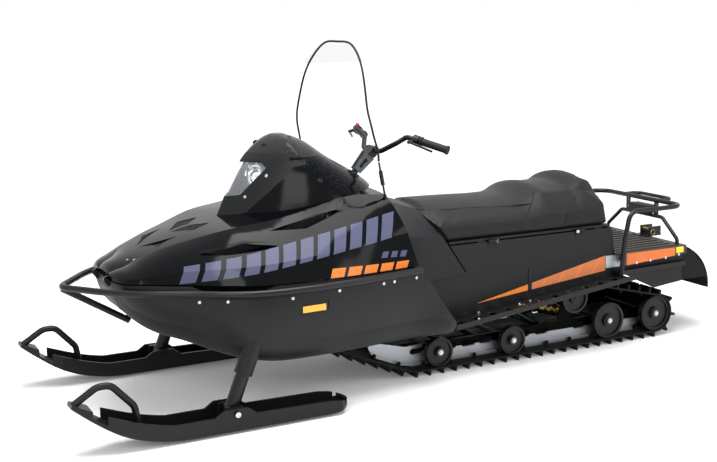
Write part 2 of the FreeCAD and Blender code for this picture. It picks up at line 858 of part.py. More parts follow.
# Along, half width at the seam, centre height, ridge offset, ridge height, crease offset, crease height
HOOD_STATIONS = (
    (-1306.0, 150.0, 568.0, 66.0, 562.0, 142.0, 555.0),
    (-1290.0, 212.0, 590.0, 80.0, 576.0, 196.0, 560.0),
    (-1245.0, 252.0, 608.0, 102.0, 594.0, 244.0, 569.0),
    (-1190.0, 284.0, 633.0, 130.0, 627.0, 276.0, 579.0),
    (-1100.0, 337.0, 670.0, 170.0, 664.0, 327.0, 592.0),
    (-1000.0, 402.0, 701.0, 207.0, 693.0, 386.0, 602.0),
    (-860.0, 478.0, 732.0, 265.0, 729.0, 448.0, 611.0),
    (-790.0, 496.0, 747.0, 277.0, 739.0, 462.0, 615.0),
    (-690.0, 502.0, 762.0, 290.0, 753.0, 468.0, 622.0),
    (-540.0, 496.0, 795.0, 300.0, 786.0, 464.0, 636.0),
    (-396.0, 481.0, 828.0, 296.0, 817.0, 454.0, 650.0),
    (-220.0, 452.0, 834.0, 326.0, 818.0, 432.0, 668.0),
    (0.0, 414.0, 836.0, 350.0, 818.0, 406.0, 690.0),
)


def hood_section(along, belt_half, centre, ridge_half, ridge, crease_half, crease, inset):
    low = seam_up(along) + 3.0 - (20.0 if inset > 0 else 0.0)
    right = [V(belt_half - inset, along, low), V(crease_half - inset, along, crease - inset * 0.4),
             V(ridge_half - inset, along, ridge - inset)]
    left = [V(-p.x, p.y, p.z) for p in right]
    flank = (right[1] + right[2]) * 0.5 + V(6, 0, 10)
    flank_l = V(-flank.x, flank.y, flank.z)
    return Part.Wire([
        Part.makeLine(left[0], right[0]),
        Part.makeLine(right[0], right[1]),
        Part.Arc(right[1], flank, right[2]).toShape(),
        Part.Arc(right[2], V(0, along, centre - inset), left[2]).toShape(),
        Part.Arc(left[2], flank_l, left[1]).toShape(),
        Part.makeLine(left[1], left[0]),
    ])


# Outlines of the two side vents as along and up, and of the two nose vents as across and along
SIDE_VENTS = (
    ((-1020.0, 647.0), (-856.0, 684.0), (-732.0, 672.0), (-765.0, 664.0), (-928.0, 648.0)),
    ((-746.0, 718.0), (-541.0, 761.0), (-462.0, 776.0), (-438.0, 771.0), (-604.0, 720.0)),
)
NOSE_VENTS = (
    ((14.0, -1163.0), (108.0, -1107.0), (103.0, -1032.0), (78.0, -1081.0)),
    ((12.0, -1031.0), (108.0, -966.0), (77.0, -890.0), (12.0, -950.0)),
)


def make_hood():
    rows = resampled(HOOD_STATIONS, stations_along(HOOD_STATIONS))
    outer = Part.makeLoft([hood_section(*row, 0.0) for row in rows], True, False)
    along, up = n("hood_pivot_along"), n("hood_pivot_up")
    wall = HOOD_STATIONS[0][0]
    ears = []
    bores = []
    for side in (-1, 1):
        x = side * n("hood_pivot_side")
        ears.append(prism([(along - 7, up - 5), (along + 5, up - 6), (wall + 2.5, up + 6), (wall + 2.5,
                                                                                            up + 13),
                           (wall - 6, up + 13), (along - 7, up + 6)], x - 8, x + 8, "x"))
        bores.append(Part.makeCylinder(n("hood_pin") + n("pin_fit"), 60, V(x - 30, along, up), V(1, 0, 0)))
    shifted = [(rows[0][0] + n("shell"),) + rows[0][1:]] + rows[1:]
    inner = Part.makeLoft([hood_section(*row, n("shell")) for row in shifted], True, False)
    shell = outer.fuse(ears).cut(inner)
    rear = prism([(hood_rear_along(400), 400), (hood_rear_along(1000), 1000), (400, 1000), (400, 400)],
                 -700, 700, "x")
    notch = Part.makeBox(2 * n("notch_half"), 400, 300, V(-n("notch_half"), n("notch_front"), 690))
    vents = []
    for side in (-1, 1):
        for outline in SIDE_VENTS:
            vents.append(prism(outline, side * 280, side * 560, "x"))
        for outline in NOSE_VENTS:
            plan = [V(side * x, y, 560) for x, y in outline]
            vents.append(Part.Face(Part.makePolygon(plan + plan[:1])).extrude(V(0, 0, 200)))
    shell = shell.cut([rear, notch] + bores + vents)
    return keep("hood", solid("hood_shell", shell))


def grown_hood():
    """The hood's outer form as a full solid, grown by the gap that pieces on it keep."""
    rows = resampled(HOOD_STATIONS, stations_along(HOOD_STATIONS))
    return Part.makeLoft([hood_section(*row, -n("run_gap")) for row in rows], True, False)


make_hood()
HOOD_FILL = grown_hood()


# Pod on the hood: a teardrop dome whose front carries the bezel and the headlight

# Height, nose, widest half width, where it is widest, rear end
POD_LEVELS = (
    (706.0, -850.0, 318.0, -450.0, -130.0),
    (770.0, -818.0, 304.0, -455.0, -145.0),
    (830.0, -792.0, 285.0, -470.0, -175.0),
    (880.0, -770.0, 262.0, -490.0, -240.0),
    (930.0, -742.0, 240.0, -515.0, -330.0),
    (980.0, -702.0, 208.0, -545.0, -412.0),
    (1020.0, -655.0, 150.0, -565.0, -460.0),
    (1045.0, -615.0, 84.0, -568.0, -510.0),
    (1056.0, -588.0, 30.0, -563.0, -538.0),
)


def pod_wire(up, nose, half, waist, rear, inset):
    """Plan outline of the pod at one height: a pointed nose, a waist and a rounded rear."""
    half = half - inset
    nose = nose + inset
    rear = rear - inset
    tip = V(0, nose, up)
    flank = V(half * 0.6, nose + (waist - nose) * 0.42, up)
    side = V(half, waist, up)
    haunch = V(half * 0.8, waist + (rear - waist) * 0.62, up)
    tail = V(0, rear, up)
    return Part.Wire([
        Part.Arc(tip, flank, side).toShape(),
        Part.Arc(side, haunch, tail).toShape(),
        Part.Arc(tail, V(-haunch.x, haunch.y, up), V(-side.x, side.y, up)).toShape(),
        Part.Arc(V(-side.x, side.y, up), V(-flank.x, flank.y, up), tip).toShape(),
    ])


# Outlines of the lamp's lens and of the frame round it, seen from the front, as across and up
LENS = [(0.0, 814.0), (66.0, 824.0), (126.0, 932.0), (104.0, 950.0), (-104.0, 950.0), (-126.0, 932.0),
        (-66.0, 824.0)]
BEZEL = [(0.0, 724.0), (62.0, 738.0), (108.0, 760.0), (158.0, 838.0), (204.0, 930.0), (208.0, 972.0),
         (176.0, 992.0), (60.0, 986.0), (-60.0, 986.0), (-176.0, 992.0), (-208.0, 972.0), (-204.0, 930.0),
         (-158.0, 838.0), (-108.0, 760.0), (-62.0, 738.0)]


def grown(points, by):
    """Outline pushed out from its own middle by about the same amount all round."""
    mid_a = sum(p[0] for p in points) / len(points)
    mid_b = sum(p[1] for p in points) / len(points)
    out = []
    for a, b in points:
        away = math.hypot(a - mid_a, b - mid_b)
        out.append((a + (a - mid_a) / away * by, b + (b - mid_b) / away * by))
    return out


def make_pod():
    skin = n("shell")
    outer = Part.makeLoft([pod_wire(*level, 0.0) for level in POD_LEVELS], True, False)
    levels = [(POD_LEVELS[0][0] - 5.0,) + POD_LEVELS[0][1:]] + [
        (level[0] - skin,) + level[1:] for level in POD_LEVELS[1:]]
    inner = Part.makeLoft([pod_wire(*level, skin) for level in levels], True, False)
    shell = outer.cut(inner)
    shell = shell.cut(HOOD_FILL)
    forward = -585.0
    lens_cut = prism(grown(LENS, n("run_gap")), -950, forward)
    lens = shell.common(prism(LENS, -950, forward))
    bezel_band = prism(BEZEL, -950, forward).cut(lens_cut)
    bezel = shell.common(bezel_band)
    cowl = shell.cut(prism(grown(BEZEL, n("run_gap")), -950, forward))
    slot = Part.makeBox(2 * n("notch_half"), 400, 300, V(-n("notch_half"), n("notch_front"), 690))
    cowl = cowl.cut(slot)
    keep("dash_cowl", solid("cowl", cowl))
    keep("headlight_bezel", solid("bezel", bezel))
    keep("headlight", solid("lens", lens))


make_pod()


# Windshield: a clear sheet wrapped round the pod, bound with a black edge

# Height, half width, rear edge, centre of the front
GLASS_LEVELS = (
    (826.0, 318.0, -300.0, -556.0),
    (900.0, 364.0, -298.0, -616.0),
    (960.0, 387.0, -296.0, -652.0),
    (1020.0, 388.0, -304.0, -650.0),
    (1056.0, 382.0, -312.0, -558.0),
    (1098.0, 371.0, -317.0, -484.0),
    (1150.0, 347.0, -319.0, -468.0),
    (1200.0, 327.0, -316.0, -458.0),
    (1270.0, 297.0, -309.0, -432.0),
    (1328.0, 257.0, -300.0, -398.0),
    (1381.0, 195.0, -290.0, -355.0),
    (1412.0, 130.0, -285.0, -312.0),
)


def glass_wire(up, half, rear, front, thick):
    outer = [V(-half, rear, up), V(0, front, up), V(half, rear, up)]
    inner = [V(half - thick, rear, up), V(0, front + thick, up), V(-half + thick, rear, up)]
    return Part.Wire([
        Part.Arc(*outer).toShape(),
        Part.makeLine(outer[2], inner[0]),
        Part.Arc(*inner).toShape(),
        Part.makeLine(inner[2], outer[0]),
    ])


def make_windshield():
    thick = n("glass_thick")
    sheet_shape = Part.makeLoft([glass_wire(*level, thick) for level in GLASS_LEVELS], True, False)
    below = prism([(-900.0, 600.0), (-900.0, 1050.0), (-664.0, 1034.0), (-600.0, 992.0), (-486.0, 872.0),
                   (-476.0, 826.0), (-290.0, 848.0), (-200.0, 840.0), (-200.0, 600.0)], -500, 500, "x")
    glass = sheet_shape.cut(below)
    pod_fill = Part.makeLoft([pod_wire(*level, -n("run_gap")) for level in POD_LEVELS], True, False)
    glass = glass.cut(pod_fill)
    keep("windshield", solid("wind_sheet", glass))
    edge = [(half, rear, up) for up, half, rear, front in GLASS_LEVELS[2:]]
    points = [V(x - 2, y + 5.4, z) for x, y, z in edge]
    points += [V(0, -285.0 + 6.4, 1420.0)]
    points += [V(-p.x, p.y, p.z) for p in reversed(points[:-1])]
    curve = Part.BSplineCurve()
    curve.interpolate(points)
    spine = Part.Wire([curve.toShape()])
    start = curve.value(curve.FirstParameter)
    tangent = curve.tangent(curve.FirstParameter)[0]
    ring = Part.Wire([Part.makeCircle(4.5, start, tangent)])
    trim = spine.makePipeShell([ring], True, True)
    keep("windshield_trim", solid("edge_trim", trim))


def make_stays():
    """Rods from the edge trim's lower ends down to the hood, each with a clamp sleeve half way."""
    stays = []
    for side in (-1, 1):
        top = V(side * 384.6, -289.0, 954.8)
        foot = V(side * 337.0, -238.0, 802.0)
        way = foot - top
        rod_shape = Part.makeCylinder(n("stay_radius"), way.Length, top, way)
        sleeve = Part.makeCylinder(n("stay_radius") + 4.0, 62.0, top + way * 0.24, way)
        collar = Part.makeCylinder(n("stay_radius") + 3.0, 26.0, foot - way * (16.0 / way.Length), way)
        stays.append(rod_shape.fuse([sleeve, collar]).cut(HOOD_FILL))
    keep("windshield_stays", solid("stay_rods", Part.makeCompound(stays)))


make_windshield()
make_stays()


# Track: one endless loop round the idler, the rollers and the drive, with lugs and guide lugs

def belt_circles():
    """Circles inside the loop, in the order in which the belt meets them, as along, up, radius."""
    floor = n("lug_height") + n("belt_thick")
    return [
        (n("ramp_foot_along"), floor + n("ramp_bend_radius"), n("ramp_bend_radius")),
        (n("rear_idler_along"), floor + n("rear_idler_radius"), n("rear_idler_radius")),
        (n("roller_along"), n("roller_up"), n("roller_radius")),
        (n("drive_along"), n("drive_up"), n("drive_radius")),
    ]


class BeltPath:
    """Inner line of the belt as arcs and straight runs, read by the distance along it."""

    def __init__(self, circles):
        self.parts = []
        normals = []
        for index, (ay, az, ar) in enumerate(circles):
            by, bz, br = circles[(index + 1) % len(circles)]
            gap = math.hypot(by - ay, bz - az)
            dy, dz = (by - ay) / gap, (bz - az) / gap
            share = (ar - br) / gap
            across = math.sqrt(1.0 - share * share)
            normals.append((dy * share + dz * across, dz * share - dy * across))
        for index, (cy, cz, radius) in enumerate(circles):
            first = math.atan2(normals[index - 1][1], normals[index - 1][0])
            last = math.atan2(normals[index][1], normals[index][0])
            turn = (last - first) % (2 * math.pi)
            self.parts.append(("arc", cy, cz, radius, first, radius * turn))
            ny, nz = normals[index]
            oy, oz, other = circles[(index + 1) % len(circles)]
            start = (cy + radius * ny, cz + radius * nz)
            end = (oy + other * ny, oz + other * nz)
            run = math.hypot(end[0] - start[0], end[1] - start[1])
            self.parts.append(("run", start, end, (ny, nz), run, run))
        self.length = sum(part[-1] for part in self.parts)

    def at(self, distance, out):
        """Point at a distance along the loop, pushed outwards by out."""
        left = distance % self.length
        for part in self.parts:
            if left <= part[-1]:
                break
            left -= part[-1]
        if part[0] == "arc":
            cy, cz, radius, first = part[1:5]
            angle = first + left / radius
            return (cy + (radius + out) * math.cos(angle), cz + (radius + out) * math.sin(angle))
        start, end, normal, run = part[1:5]
        share = left / run
        return (start[0] + (end[0] - start[0]) * share + normal[0] * out,
                start[1] + (end[1] - start[1]) * share + normal[1] * out)


def flat(points):
    """Flat face through points given in order, the last joined back to the first."""
    return Part.Face(Part.makePolygon([V(*p) for p in points] + [V(*points[0])]))


def strip(first, last, stops_first, stops_last):
    """Face across the track between two lines, with a corner at each stop along either line."""
    ahead = [(x, first[0], first[1]) for x in stops_first]
    back = [(x, last[0], last[1]) for x in reversed(stops_last)]
    return flat(ahead + back)


def ridge(foot, tips, heel, low, high, closed_low, closed_high):
    """Faces of one cleat over foot, tips and heel, with its end faces where they are wanted."""
    line = [foot] + tips + [heel]
    faces = [strip(p, q, (low, high), (low, high)) for p, q in zip(line, line[1:])]
    for x, wanted in ((low, closed_low), (high, closed_high)):
        if wanted:
            faces.append(flat([(x, p[0], p[1]) for p in line]))
    return faces


def make_track():
    """Closed skin of the loop, face by face: belt, three rows of lugs and two rows of guide lugs."""
    path = BeltPath(belt_circles())
    half = n("track_width") / 2.0
    middle = n("lug_middle") / 2.0
    gap = n("lug_gap")
    guide = n("guide_offset")
    reach = guide + n("guide_width")
    belt = n("belt_thick")
    thick = n("lug_thick") / 2.0
    blocks = [(-half, -middle - gap), (-middle, middle), (middle + gap, half)]
    guides = [(-reach, -guide), (guide, reach)]
    outer_stops = [x for block in blocks for x in block]
    inner_stops = [-half] + [x for pair in guides for x in pair] + [half]
    ends = [-half, half]
    count = int(round(path.length / n("lug_pitch")))
    pitch = path.length / count
    faces = []
    outline = []
    hole = []
    for index in range(count):
        mid = index * pitch
        guided = index % 2 == 0
        after_guided = (index + 1) % count % 2 == 0
        foot, heel = path.at(mid - thick, belt), path.at(mid + thick, belt)
        tips = [path.at(mid + thick * share, belt + n("lug_height")) for share in (-0.7, 0.7)]
        between, following = path.at(mid + pitch / 2.0, belt), path.at(mid + pitch - thick, belt)
        faces.append(strip(heel, between, outer_stops, ends))
        faces.append(strip(between, following, ends, outer_stops))
        for (low, high), (next_low, next_high) in zip(blocks, blocks[1:]):
            faces.append(strip(foot, heel, (high, next_low), (high, next_low)))
        for low, high in blocks:
            faces += ridge(foot, tips, heel, low, high, low > -half, high < half)
        outline += [foot] + tips + [heel, between]
        foot, heel = path.at(mid - thick, 0.0), path.at(mid + thick, 0.0)
        between, following = path.at(mid + pitch / 2.0, 0.0), path.at(mid + pitch - thick, 0.0)
        faces.append(strip(heel, between, inner_stops if guided else ends, ends))
        faces.append(strip(between, following, ends, inner_stops if after_guided else ends))
        if guided:
            for low, high in zip(inner_stops[0::2], inner_stops[1::2]):
                faces.append(strip(foot, heel, (low, high), (low, high)))
            tips = [path.at(mid + thick * share, -n("guide_height")) for share in (-0.5, 0.5)]
            for low, high in guides:
                faces += ridge(foot, tips, heel, low, high, True, True)
        else:
            faces.append(strip(foot, heel, ends, ends))
        hole += [foot, heel, between]
    hole.reverse()
    for x in ends:
        rings = [Part.makePolygon([V(x, *p) for p in ring + ring[:1]]) for ring in (outline, hole)]
        faces.append(Part.Face(rings))
    shell = Part.Shell(faces)
    shell.sewShape()
    loop = Part.Solid(shell)
    if loop.Volume < 0:
        loop.reverse()
    return keep("track", solid("track_loop", loop))


def wheel(radius, width, outer_face, side, along, up, hub=0.34):
    """Dished wheel with a tyre band, a web set back from its faces and a hub, outer face outwards."""
    tyre = radius * 0.16
    web = width * 0.36
    points = [(0, 0), (0, width), (radius * hub, width), (radius * hub, width - web), (radius - tyre,
                                                                                       width - web * 0.8),
              (radius - tyre, width), (radius, width - 2), (radius, 2), (radius - tyre, 0), (radius - tyre,
                                                                                             web),
              (radius * hub, web), (radius * hub, 0)]
    profile = Part.makePolygon([V(w, r, 0) for r, w in points + points[:1]])
    made = Part.Face(profile).revolve(V(0, 0, 0), V(1, 0, 0), 360)
    if side < 0:
        made = made.mirror(V(0, 0, 0), V(1, 0, 0))
    made.translate(V(side * (outer_face - width), along, up))
    return made


def wheel_pair(along, up, radius, bolt=8.0):
    """Two wheels on one axle that runs through the slide rails, with a bolt head at each end."""
    face = n("wheel_outer_face")
    width = n("wheel_width")
    axle = Part.makeCylinder(n("axle_radius"), 2 * (face - width + 1), V(-(face - width + 1), along, up),
                             V(1, 0, 0))
    pieces = []
    for side in (-1, 1):
        pieces.append(wheel(radius, width, face, side, along, up))
        head = Part.makeCylinder(bolt, 4, V(side * face, along, up), V(side, 0, 0))
        pieces.append(head)
    return axle.fuse(pieces).removeSplitter()


def inside_belt(radius):
    """Radius that fits inside a bend of the belt, whose inner face is flat from lug to lug."""
    flat_run = (n("lug_pitch") - n("lug_thick")) / 2.0 + 1.0
    return radius - n("run_gap") - flat_run ** 2 / (8.0 * radius)


def make_wheels():
    floor = n("lug_height") + n("belt_thick")
    gap = n("run_gap")
    small = n("bogie_radius")
    big = n("rear_idler_radius")
    fronts = [wheel_pair(n(place), floor + small + gap, small) for place in ("bogie_front_along",
                                                                             "bogie_mid_along")]
    keep("bogie_wheels", solid("bogies", Part.makeCompound(fronts)))
    rears = [wheel_pair(n("bogie_rear_along"), floor + big + gap, big),
             wheel_pair(n("rear_idler_along"), floor + big, inside_belt(big))]
    keep("rear_wheels", solid("rears", Part.makeCompound(rears)))
    rollers = wheel_pair(n("roller_along"), n("roller_up"), inside_belt(n("roller_radius")))
    keep("return_rollers", solid("rollers", rollers))


def make_drive():
    """Drive axle across the front of the tunnel with two sprocket drums."""
    along = n("drive_along")
    up = n("drive_up")
    radius = inside_belt(n("drive_radius"))
    half = n("tunnel_half") - n("sheet") - n("run_gap")
    shaft = Part.makeCylinder(14, 2 * half, V(-half, along, up), V(1, 0, 0))
    pieces = []
    teeth = 8
    for offset in (-110.0, 110.0):
        ring = []
        for index in range(teeth):
            for share, reach in ((-0.22, 0.86), (-0.1, 1.0), (0.1, 1.0), (0.22, 0.86)):
                angle = 2 * math.pi * (index + share) / teeth
                ring.append(V(offset - 15, along + radius * reach * math.cos(angle),
                              up + radius * reach * math.sin(angle)))
        pieces.append(Part.Face(Part.makePolygon(ring + ring[:1])).extrude(V(30, 0, 0)))
    keep("drive_axle", solid("drive", shaft.fuse(pieces)))


def make_rails():
    """Two slide rails with their sliders, cross tubes and roller brackets."""
    low = n("rail_low")
    high = n("rail_high")
    floor = n("lug_height") + n("belt_thick")
    rear = n("rail_rear")
    start = n("rail_nose_along")
    slope = math.radians(22.0)
    under = low - floor
    foot = n("ramp_foot_along")
    bend = n("ramp_bend_radius")
    knee = (foot - (bend - under) * math.sin(slope), floor + bend - (bend - under) * math.cos(slope))
    tip = (start, knee[1] + (knee[0] - start) * math.tan(slope))
    outline = [(foot, low), (rear - 110, low), (rear - 26, low + 36), (rear, low + 60), (rear, high - 20),
               (rear - 20, high), (-70, high - 14), (-120, high), (start + 6, tip[1] + 48), (start - 12, tip[1] + 30), tip, knee]
    rails = []
    for side in (-1, 1):
        x0 = side * n("rail_offset") - n("rail_thick") / 2
        rail = prism(outline, x0, x0 + n("rail_thick"), "x")
        x1 = side * n("rail_offset") - n("slider_width") / 2
        slider = prism([(foot, low), (rear - 112, low), (rear - 112, floor + n("run_gap")),
                        (foot, floor + n("run_gap")), (knee[0] + 1, knee[1] - 13.5), (tip[0] + 6, tip[1] - 13.5), tip, knee],
                       x1, x1 + n("slider_width"), "x")
        rail = rail.fuse(slider)
        windows = []
        for middle in (-10.0, 152.0, 250.0, 342.0, 540.0, 640.0, 850.0, 1070.0):
            slot = Part.makeCylinder(14, 60, V(x0 - 20, middle - 22, 92), V(1, 0, 0))
            slot = slot.fuse(Part.makeCylinder(14, 60, V(x0 - 20, middle + 22, 92), V(1, 0, 0)))
            windows.append(slot.fuse(Part.makeBox(60, 44, 28, V(x0 - 20, middle - 22, 78))))
        axles = [(n("bogie_front_along"), floor + n("bogie_radius") + n("run_gap")),
                 (n("bogie_mid_along"), floor + n("bogie_radius") + n("run_gap")),
                 (n("bogie_rear_along"), floor + n("rear_idler_radius") + n("run_gap")),
                 (n("rear_idler_along"), floor + n("rear_idler_radius"))]
        for along, up in axles:
            windows.append(Part.makeCylinder(n("axle_radius") + n("run_gap"), 60, V(x0 - 20, along, up),
                                             V(1, 0, 0)))
        bracket = prism([(n("roller_along") - 46, high - 4), (n("roller_along") + 46, high - 4),
                         (n("roller_along") + 18, n("roller_up") + 18), (n("roller_along") - 18, n("roller_up") + 18)],
                        x0 + 3, x0 + n("rail_thick") - 3, "x")
        bracket = bracket.cut(Part.makeCylinder(n("axle_radius") + n("run_gap"), 60,
                                                V(x0 - 20, n("roller_along"), n("roller_up")), V(1, 0, 0)))
        rails.append(rail.fuse(bracket).cut(windows))
    span = 2 * (n("rail_offset") - n("rail_thick") / 2)
    for along, up in ((n("spring_low_front"), 112.0), (n("spring_low_rear"), 112.0)):
        rails.append(Part.makeCylinder(11, span + 2, V(-span / 2 - 1, along, up), V(1, 0, 0)))
    made = rails[0].fuse(rails[1:])
    keep("slide_rails", solid("rails", made))


def swing_arm(low_at, high_at, reach):
    """Arm frame from a cross tube between the rails up to one across the tunnel."""
    gap = n("run_gap")
    inner = n("rail_offset") - n("rail_thick") / 2 - gap
    outer = n("tunnel_half") - n("sheet") - gap
    low_tube = Part.makeCylinder(14, 2 * inner, V(-inner, *low_at), V(1, 0, 0))
    high_tube = Part.makeCylinder(14, 2 * outer, V(-outer, *high_at), V(1, 0, 0))
    pieces = [high_tube]
    for side in (-1, 1):
        start = V(side * reach, *low_at)
        end = V(side * reach, *high_at)
        way = end - start
        pieces.append(Part.makeCylinder(12, way.Length, start, way))
    return low_tube.fuse(pieces)


def make_suspension():
    front = swing_arm((n("arm_low_front"), 112.0), (n("arm_high_front"), n("arm_up_front")), 118.0)
    rear = swing_arm((n("arm_low_rear"), 118.0), (n("arm_high_rear"), n("arm_up_rear")), 118.0)
    keep("suspension_arms", solid("arms", Part.makeCompound([front, rear])))
    shocks = []
    for low_at, high_at in (((n("spring_low_front"), 112.0), (n("arm_high_front"), n("arm_up_front"))),
                            ((n("spring_low_rear"), 112.0), (n("arm_high_rear"), n("arm_up_rear")))):
        start = V(0, *low_at)
        end = V(0, *high_at)
        way = (end - start).normalize()
        span = (end - start).Length
        first = 11.0 + n("run_gap")
        last = span - 14.0 - n("run_gap")
        points = [(0, first), (10, first), (10, first + 30), (24, first + 30), (24, first + 40)]
        coils = 9
        low = first + 44
        pitch = (last - 70 - low) / coils
        for index in range(coils):
            points += [(30, low + pitch * (index + 0.3)), (30, low + pitch * (index + 0.6)), (21,
                                                                                              low + pitch * (index + 0.95))]
        points += [(27, last - 60), (27, last - 50), (18, last - 50), (18, last - 8), (10, last - 8), (10,
                                                                                                       last), (0, last)]
        profile = Part.Face(Part.makePolygon([V(r, 0, h) for r, h in points + points[:1]]))
        made = profile.revolve(V(0, 0, 0), V(0, 0, 1), 360)
        made.Placement = FreeCAD.Placement(start, FreeCAD.Rotation(V(0, 0, 1), way))
        shocks.append(made)
    keep("shocks", solid("coil_overs", Part.makeCompound(shocks)))


make_track()
make_wheels()
make_drive()
make_rails()
make_suspension()


# Skis on telescopic struts

def spline_edge(points, x):
    curve = Part.BSplineCurve()
    curve.interpolate([V(x, a, b) for a, b in points])
    return curve.toShape()


def make_ski(side):
    floor = n("ski_floor_up")
    thick = n("ski_floor_thick")
    half = n("ski_width") / 2
    wall = n("ski_wall")
    middle = side * n("ski_stance") / 2
    bolt_y = n("ski_bolt_along")
    bolt_z = n("ski_bolt_up")
    sole_front = [(-1562.0, 186.0), (-1480.0, 122.0), (-1400.0, 72.0), (-1300.0, 34.0), (-1180.0, 14.0),
                  (-1110.0, floor)]
    sole_rear = [(-580.0, floor), (-535.0, floor + 6), (-491.0, floor + 24)]
    top = [(-491.0, 52.0), (-580.0, 65.0), (-885.0, 70.0), (-925.0, 98.0), (-1012.0, 98.0), (-1048.0, 74.0),
           (-1200.0, 74.0)]
    top_front = [(-1200.0, 74.0), (-1330.0, 106.0), (-1450.0, 152.0), (-1558.0, 200.0)]
    x0 = middle - half

    def slab(rise, x_low, x_high, lift):
        lower = spline_edge([(a, b + rise) for a, b in sole_front], x_low)
        flat = Part.makeLine(V(x_low, sole_front[-1][0], floor + rise), V(x_low, sole_rear[0][0],
                                                                          floor + rise))
        heel = spline_edge([(a, b + rise) for a, b in sole_rear], x_low)
        upper = [V(x_low, a, b + lift) for a, b in top]
        rear_edge = Part.makeLine(V(x_low, sole_rear[-1][0], sole_rear[-1][1] + rise), upper[0])
        back = [Part.makeLine(p, q) for p, q in zip(upper, upper[1:])]
        rise_edge = spline_edge([(a, b + lift) for a, b in top_front], x_low)
        tip = Part.makeLine(rise_edge.Vertexes[-1].Point, lower.Vertexes[0].Point)
        wire = Part.Wire([lower, flat, heel, rear_edge] + back + [rise_edge, tip])
        return Part.Face(wire).extrude(V(x_high - x_low, 0, 0))

    outer = slab(0.0, x0, x0 + 2 * half, 0.0)
    inner = slab(thick, x0 + wall, x0 + 2 * half - wall, 60.0)
    keeper = Part.makeBox(2 * half, 981, 400, V(x0, -1490, 0))
    inner = inner.common(keeper)
    body = outer.cut(inner)
    plan = [V(middle - half, -1400, -20), V(middle - half * 0.42, -1566, -20), V(middle + half * 0.42,
                                                                                 -1566, -20),
            V(middle + half, -1400, -20), V(middle + half, -534, -20)]
    tail = Part.Arc(V(middle + half, -534, -20), V(middle, -490.5, -20), V(middle - half, -534,
                                                                           -20)).toShape()
    plan_wire = Part.Wire([Part.makeLine(a, b) for a, b in zip(plan, plan[1:])] + [
        tail, Part.makeLine(V(middle - half, -534, -20), plan[0])])
    body = body.common(Part.Face(plan_wire).extrude(V(0, 0, 300)))
    cheeks = []
    inside = 32.0
    for way in (-1, 1):
        low_x = middle + way * inside
        high_x = middle + way * (half - wall + 1)
        cheeks.append(prism([(bolt_y - 44, floor + 8), (bolt_y + 40, floor + 8), (bolt_y + 30, 96),
                             (bolt_y - 34, 96)],
                            min(low_x, high_x), max(low_x, high_x), "x"))
    bolt = Part.makeCylinder(n("ski_bolt_radius"), 2 * half + 16, V(middle - half - 8, bolt_y, bolt_z), V(1,
                                                                                                          0, 0))
    heads = [Part.makeCylinder(11, 6, V(middle + way * half, bolt_y, bolt_z), V(way, 0, 0)) for way in (-1,
                                                                                                        1)]
    keel = prism([(-1170, floor + 2), (-1150, 4), (-1130, 0), (-600, 0), (-575, 5), (-560, floor + 8)],
                 middle - 9, middle + 9, "x")
    keel = keel.common(Part.makeBox(40, 2000, floor + 4, V(middle - 20, -1600, 0)))
    loop = tube("ski_loop_%s" % ("left" if side > 0 else "right"), [
        (middle, -1546, 190), (middle, -1462, 243), (middle, -1412, 243), (middle, -1330, 152), (middle, -1314, 44)],
        [60, 45, 45], size("ski_loop_radius"))
    doc.recompute()
    body = body.fuse(cheeks + [bolt, keel, loop.Shape] + heads)
    name = "ski_left" if side > 0 else "ski_right"
    return keep(name, solid(name + "_body", body))


def make_spindle(side):
    middle = side * n("ski_stance") / 2
    foot = V(middle, n("ski_bolt_along"), n("ski_bolt_up"))
    rod_shape = strut_cylinder(side, n("strut_radius"), 0.0, n("strut_top"))
    eye = Part.makeCylinder(24, 60, foot + V(-30, 0, 0), V(1, 0, 0))
    slot = Part.makeCylinder(24, 120, foot + V(-60, 0, 0), V(1, 0, 0))
    trimmed = rod_shape.cut(slot)
    under = Part.makeBox(120, 120, 60, foot + V(-60, -60, -60))
    bore = Part.makeCylinder(n("ski_bolt_radius") + n("pin_fit"), 120, foot + V(-60, 0, 0), V(1, 0, 0))
    made = trimmed.cut(under).fuse(eye).cut(bore)
    made = max(made.Solids, key=lambda part: part.Volume)
    name = "spindle_left" if side > 0 else "spindle_right"
    keep(name, solid(name + "_tube", made))


def make_sleeves():
    pieces = []
    for side in (-1, 1):
        outer = strut_cylinder(side, n("sleeve_radius"), n("sleeve_low"), n("sleeve_top"))
        inner = strut_cylinder(side, n("strut_radius") + n("pin_fit"), n("sleeve_low") - 5,
                               n("strut_top") + 10)
        pieces.append(outer.cut(inner))
    keep("strut_sleeves", solid("sleeves", Part.makeCompound(pieces)))


for hand in (1, -1):
    make_ski(hand)
    make_spindle(hand)
make_sleeves()


def make_hood_hinges():
    """Brackets on the hull's nose whose pins carry the hood's two ears."""
    along, up = n("hood_pivot_along"), n("hood_pivot_up")
    pieces = []
    for side in (-1, 1):
        x = side * n("hood_pivot_side")
        wall = HULL_STATIONS[0][0] - n("run_gap")
        cheeks = []
        for offset in (-13.0, 9.0):
            plate = prism([(wall, up - 26), (wall, up - 6), (along + 7, up + 6), (along - 7, up + 6),
                           (along - 7, up - 8), (wall - 5, up - 26)], x + offset, x + offset + 4, "x")
            cheeks.append(plate)
        back = Part.makeBox(26, 3, 20, V(x - 13, wall - 3, up - 26))
        pin = Part.makeCylinder(n("hood_pin"), 34, V(x - 17, along, up), V(1, 0, 0))
        pieces.append(back.fuse(cheeks + [pin]))
    keep("hood_hinges", solid("hood_brackets", Part.makeCompound(pieces)))


make_hood_hinges()


# Bumper, engine block and the steering column with its handlebar

def hull_reach(along, up):
    """How far out the hull's flank stands beside the bumper tube at a place."""
    return reach_out(NODES["hull"].Shape, along, up, n("bumper_radius") + 2.0)


def hull_floor(along):
    """Height of the hull's flat floor at a place, from below."""
    return min(p.z for p in outline_at(NODES["hull"].Shape, along))


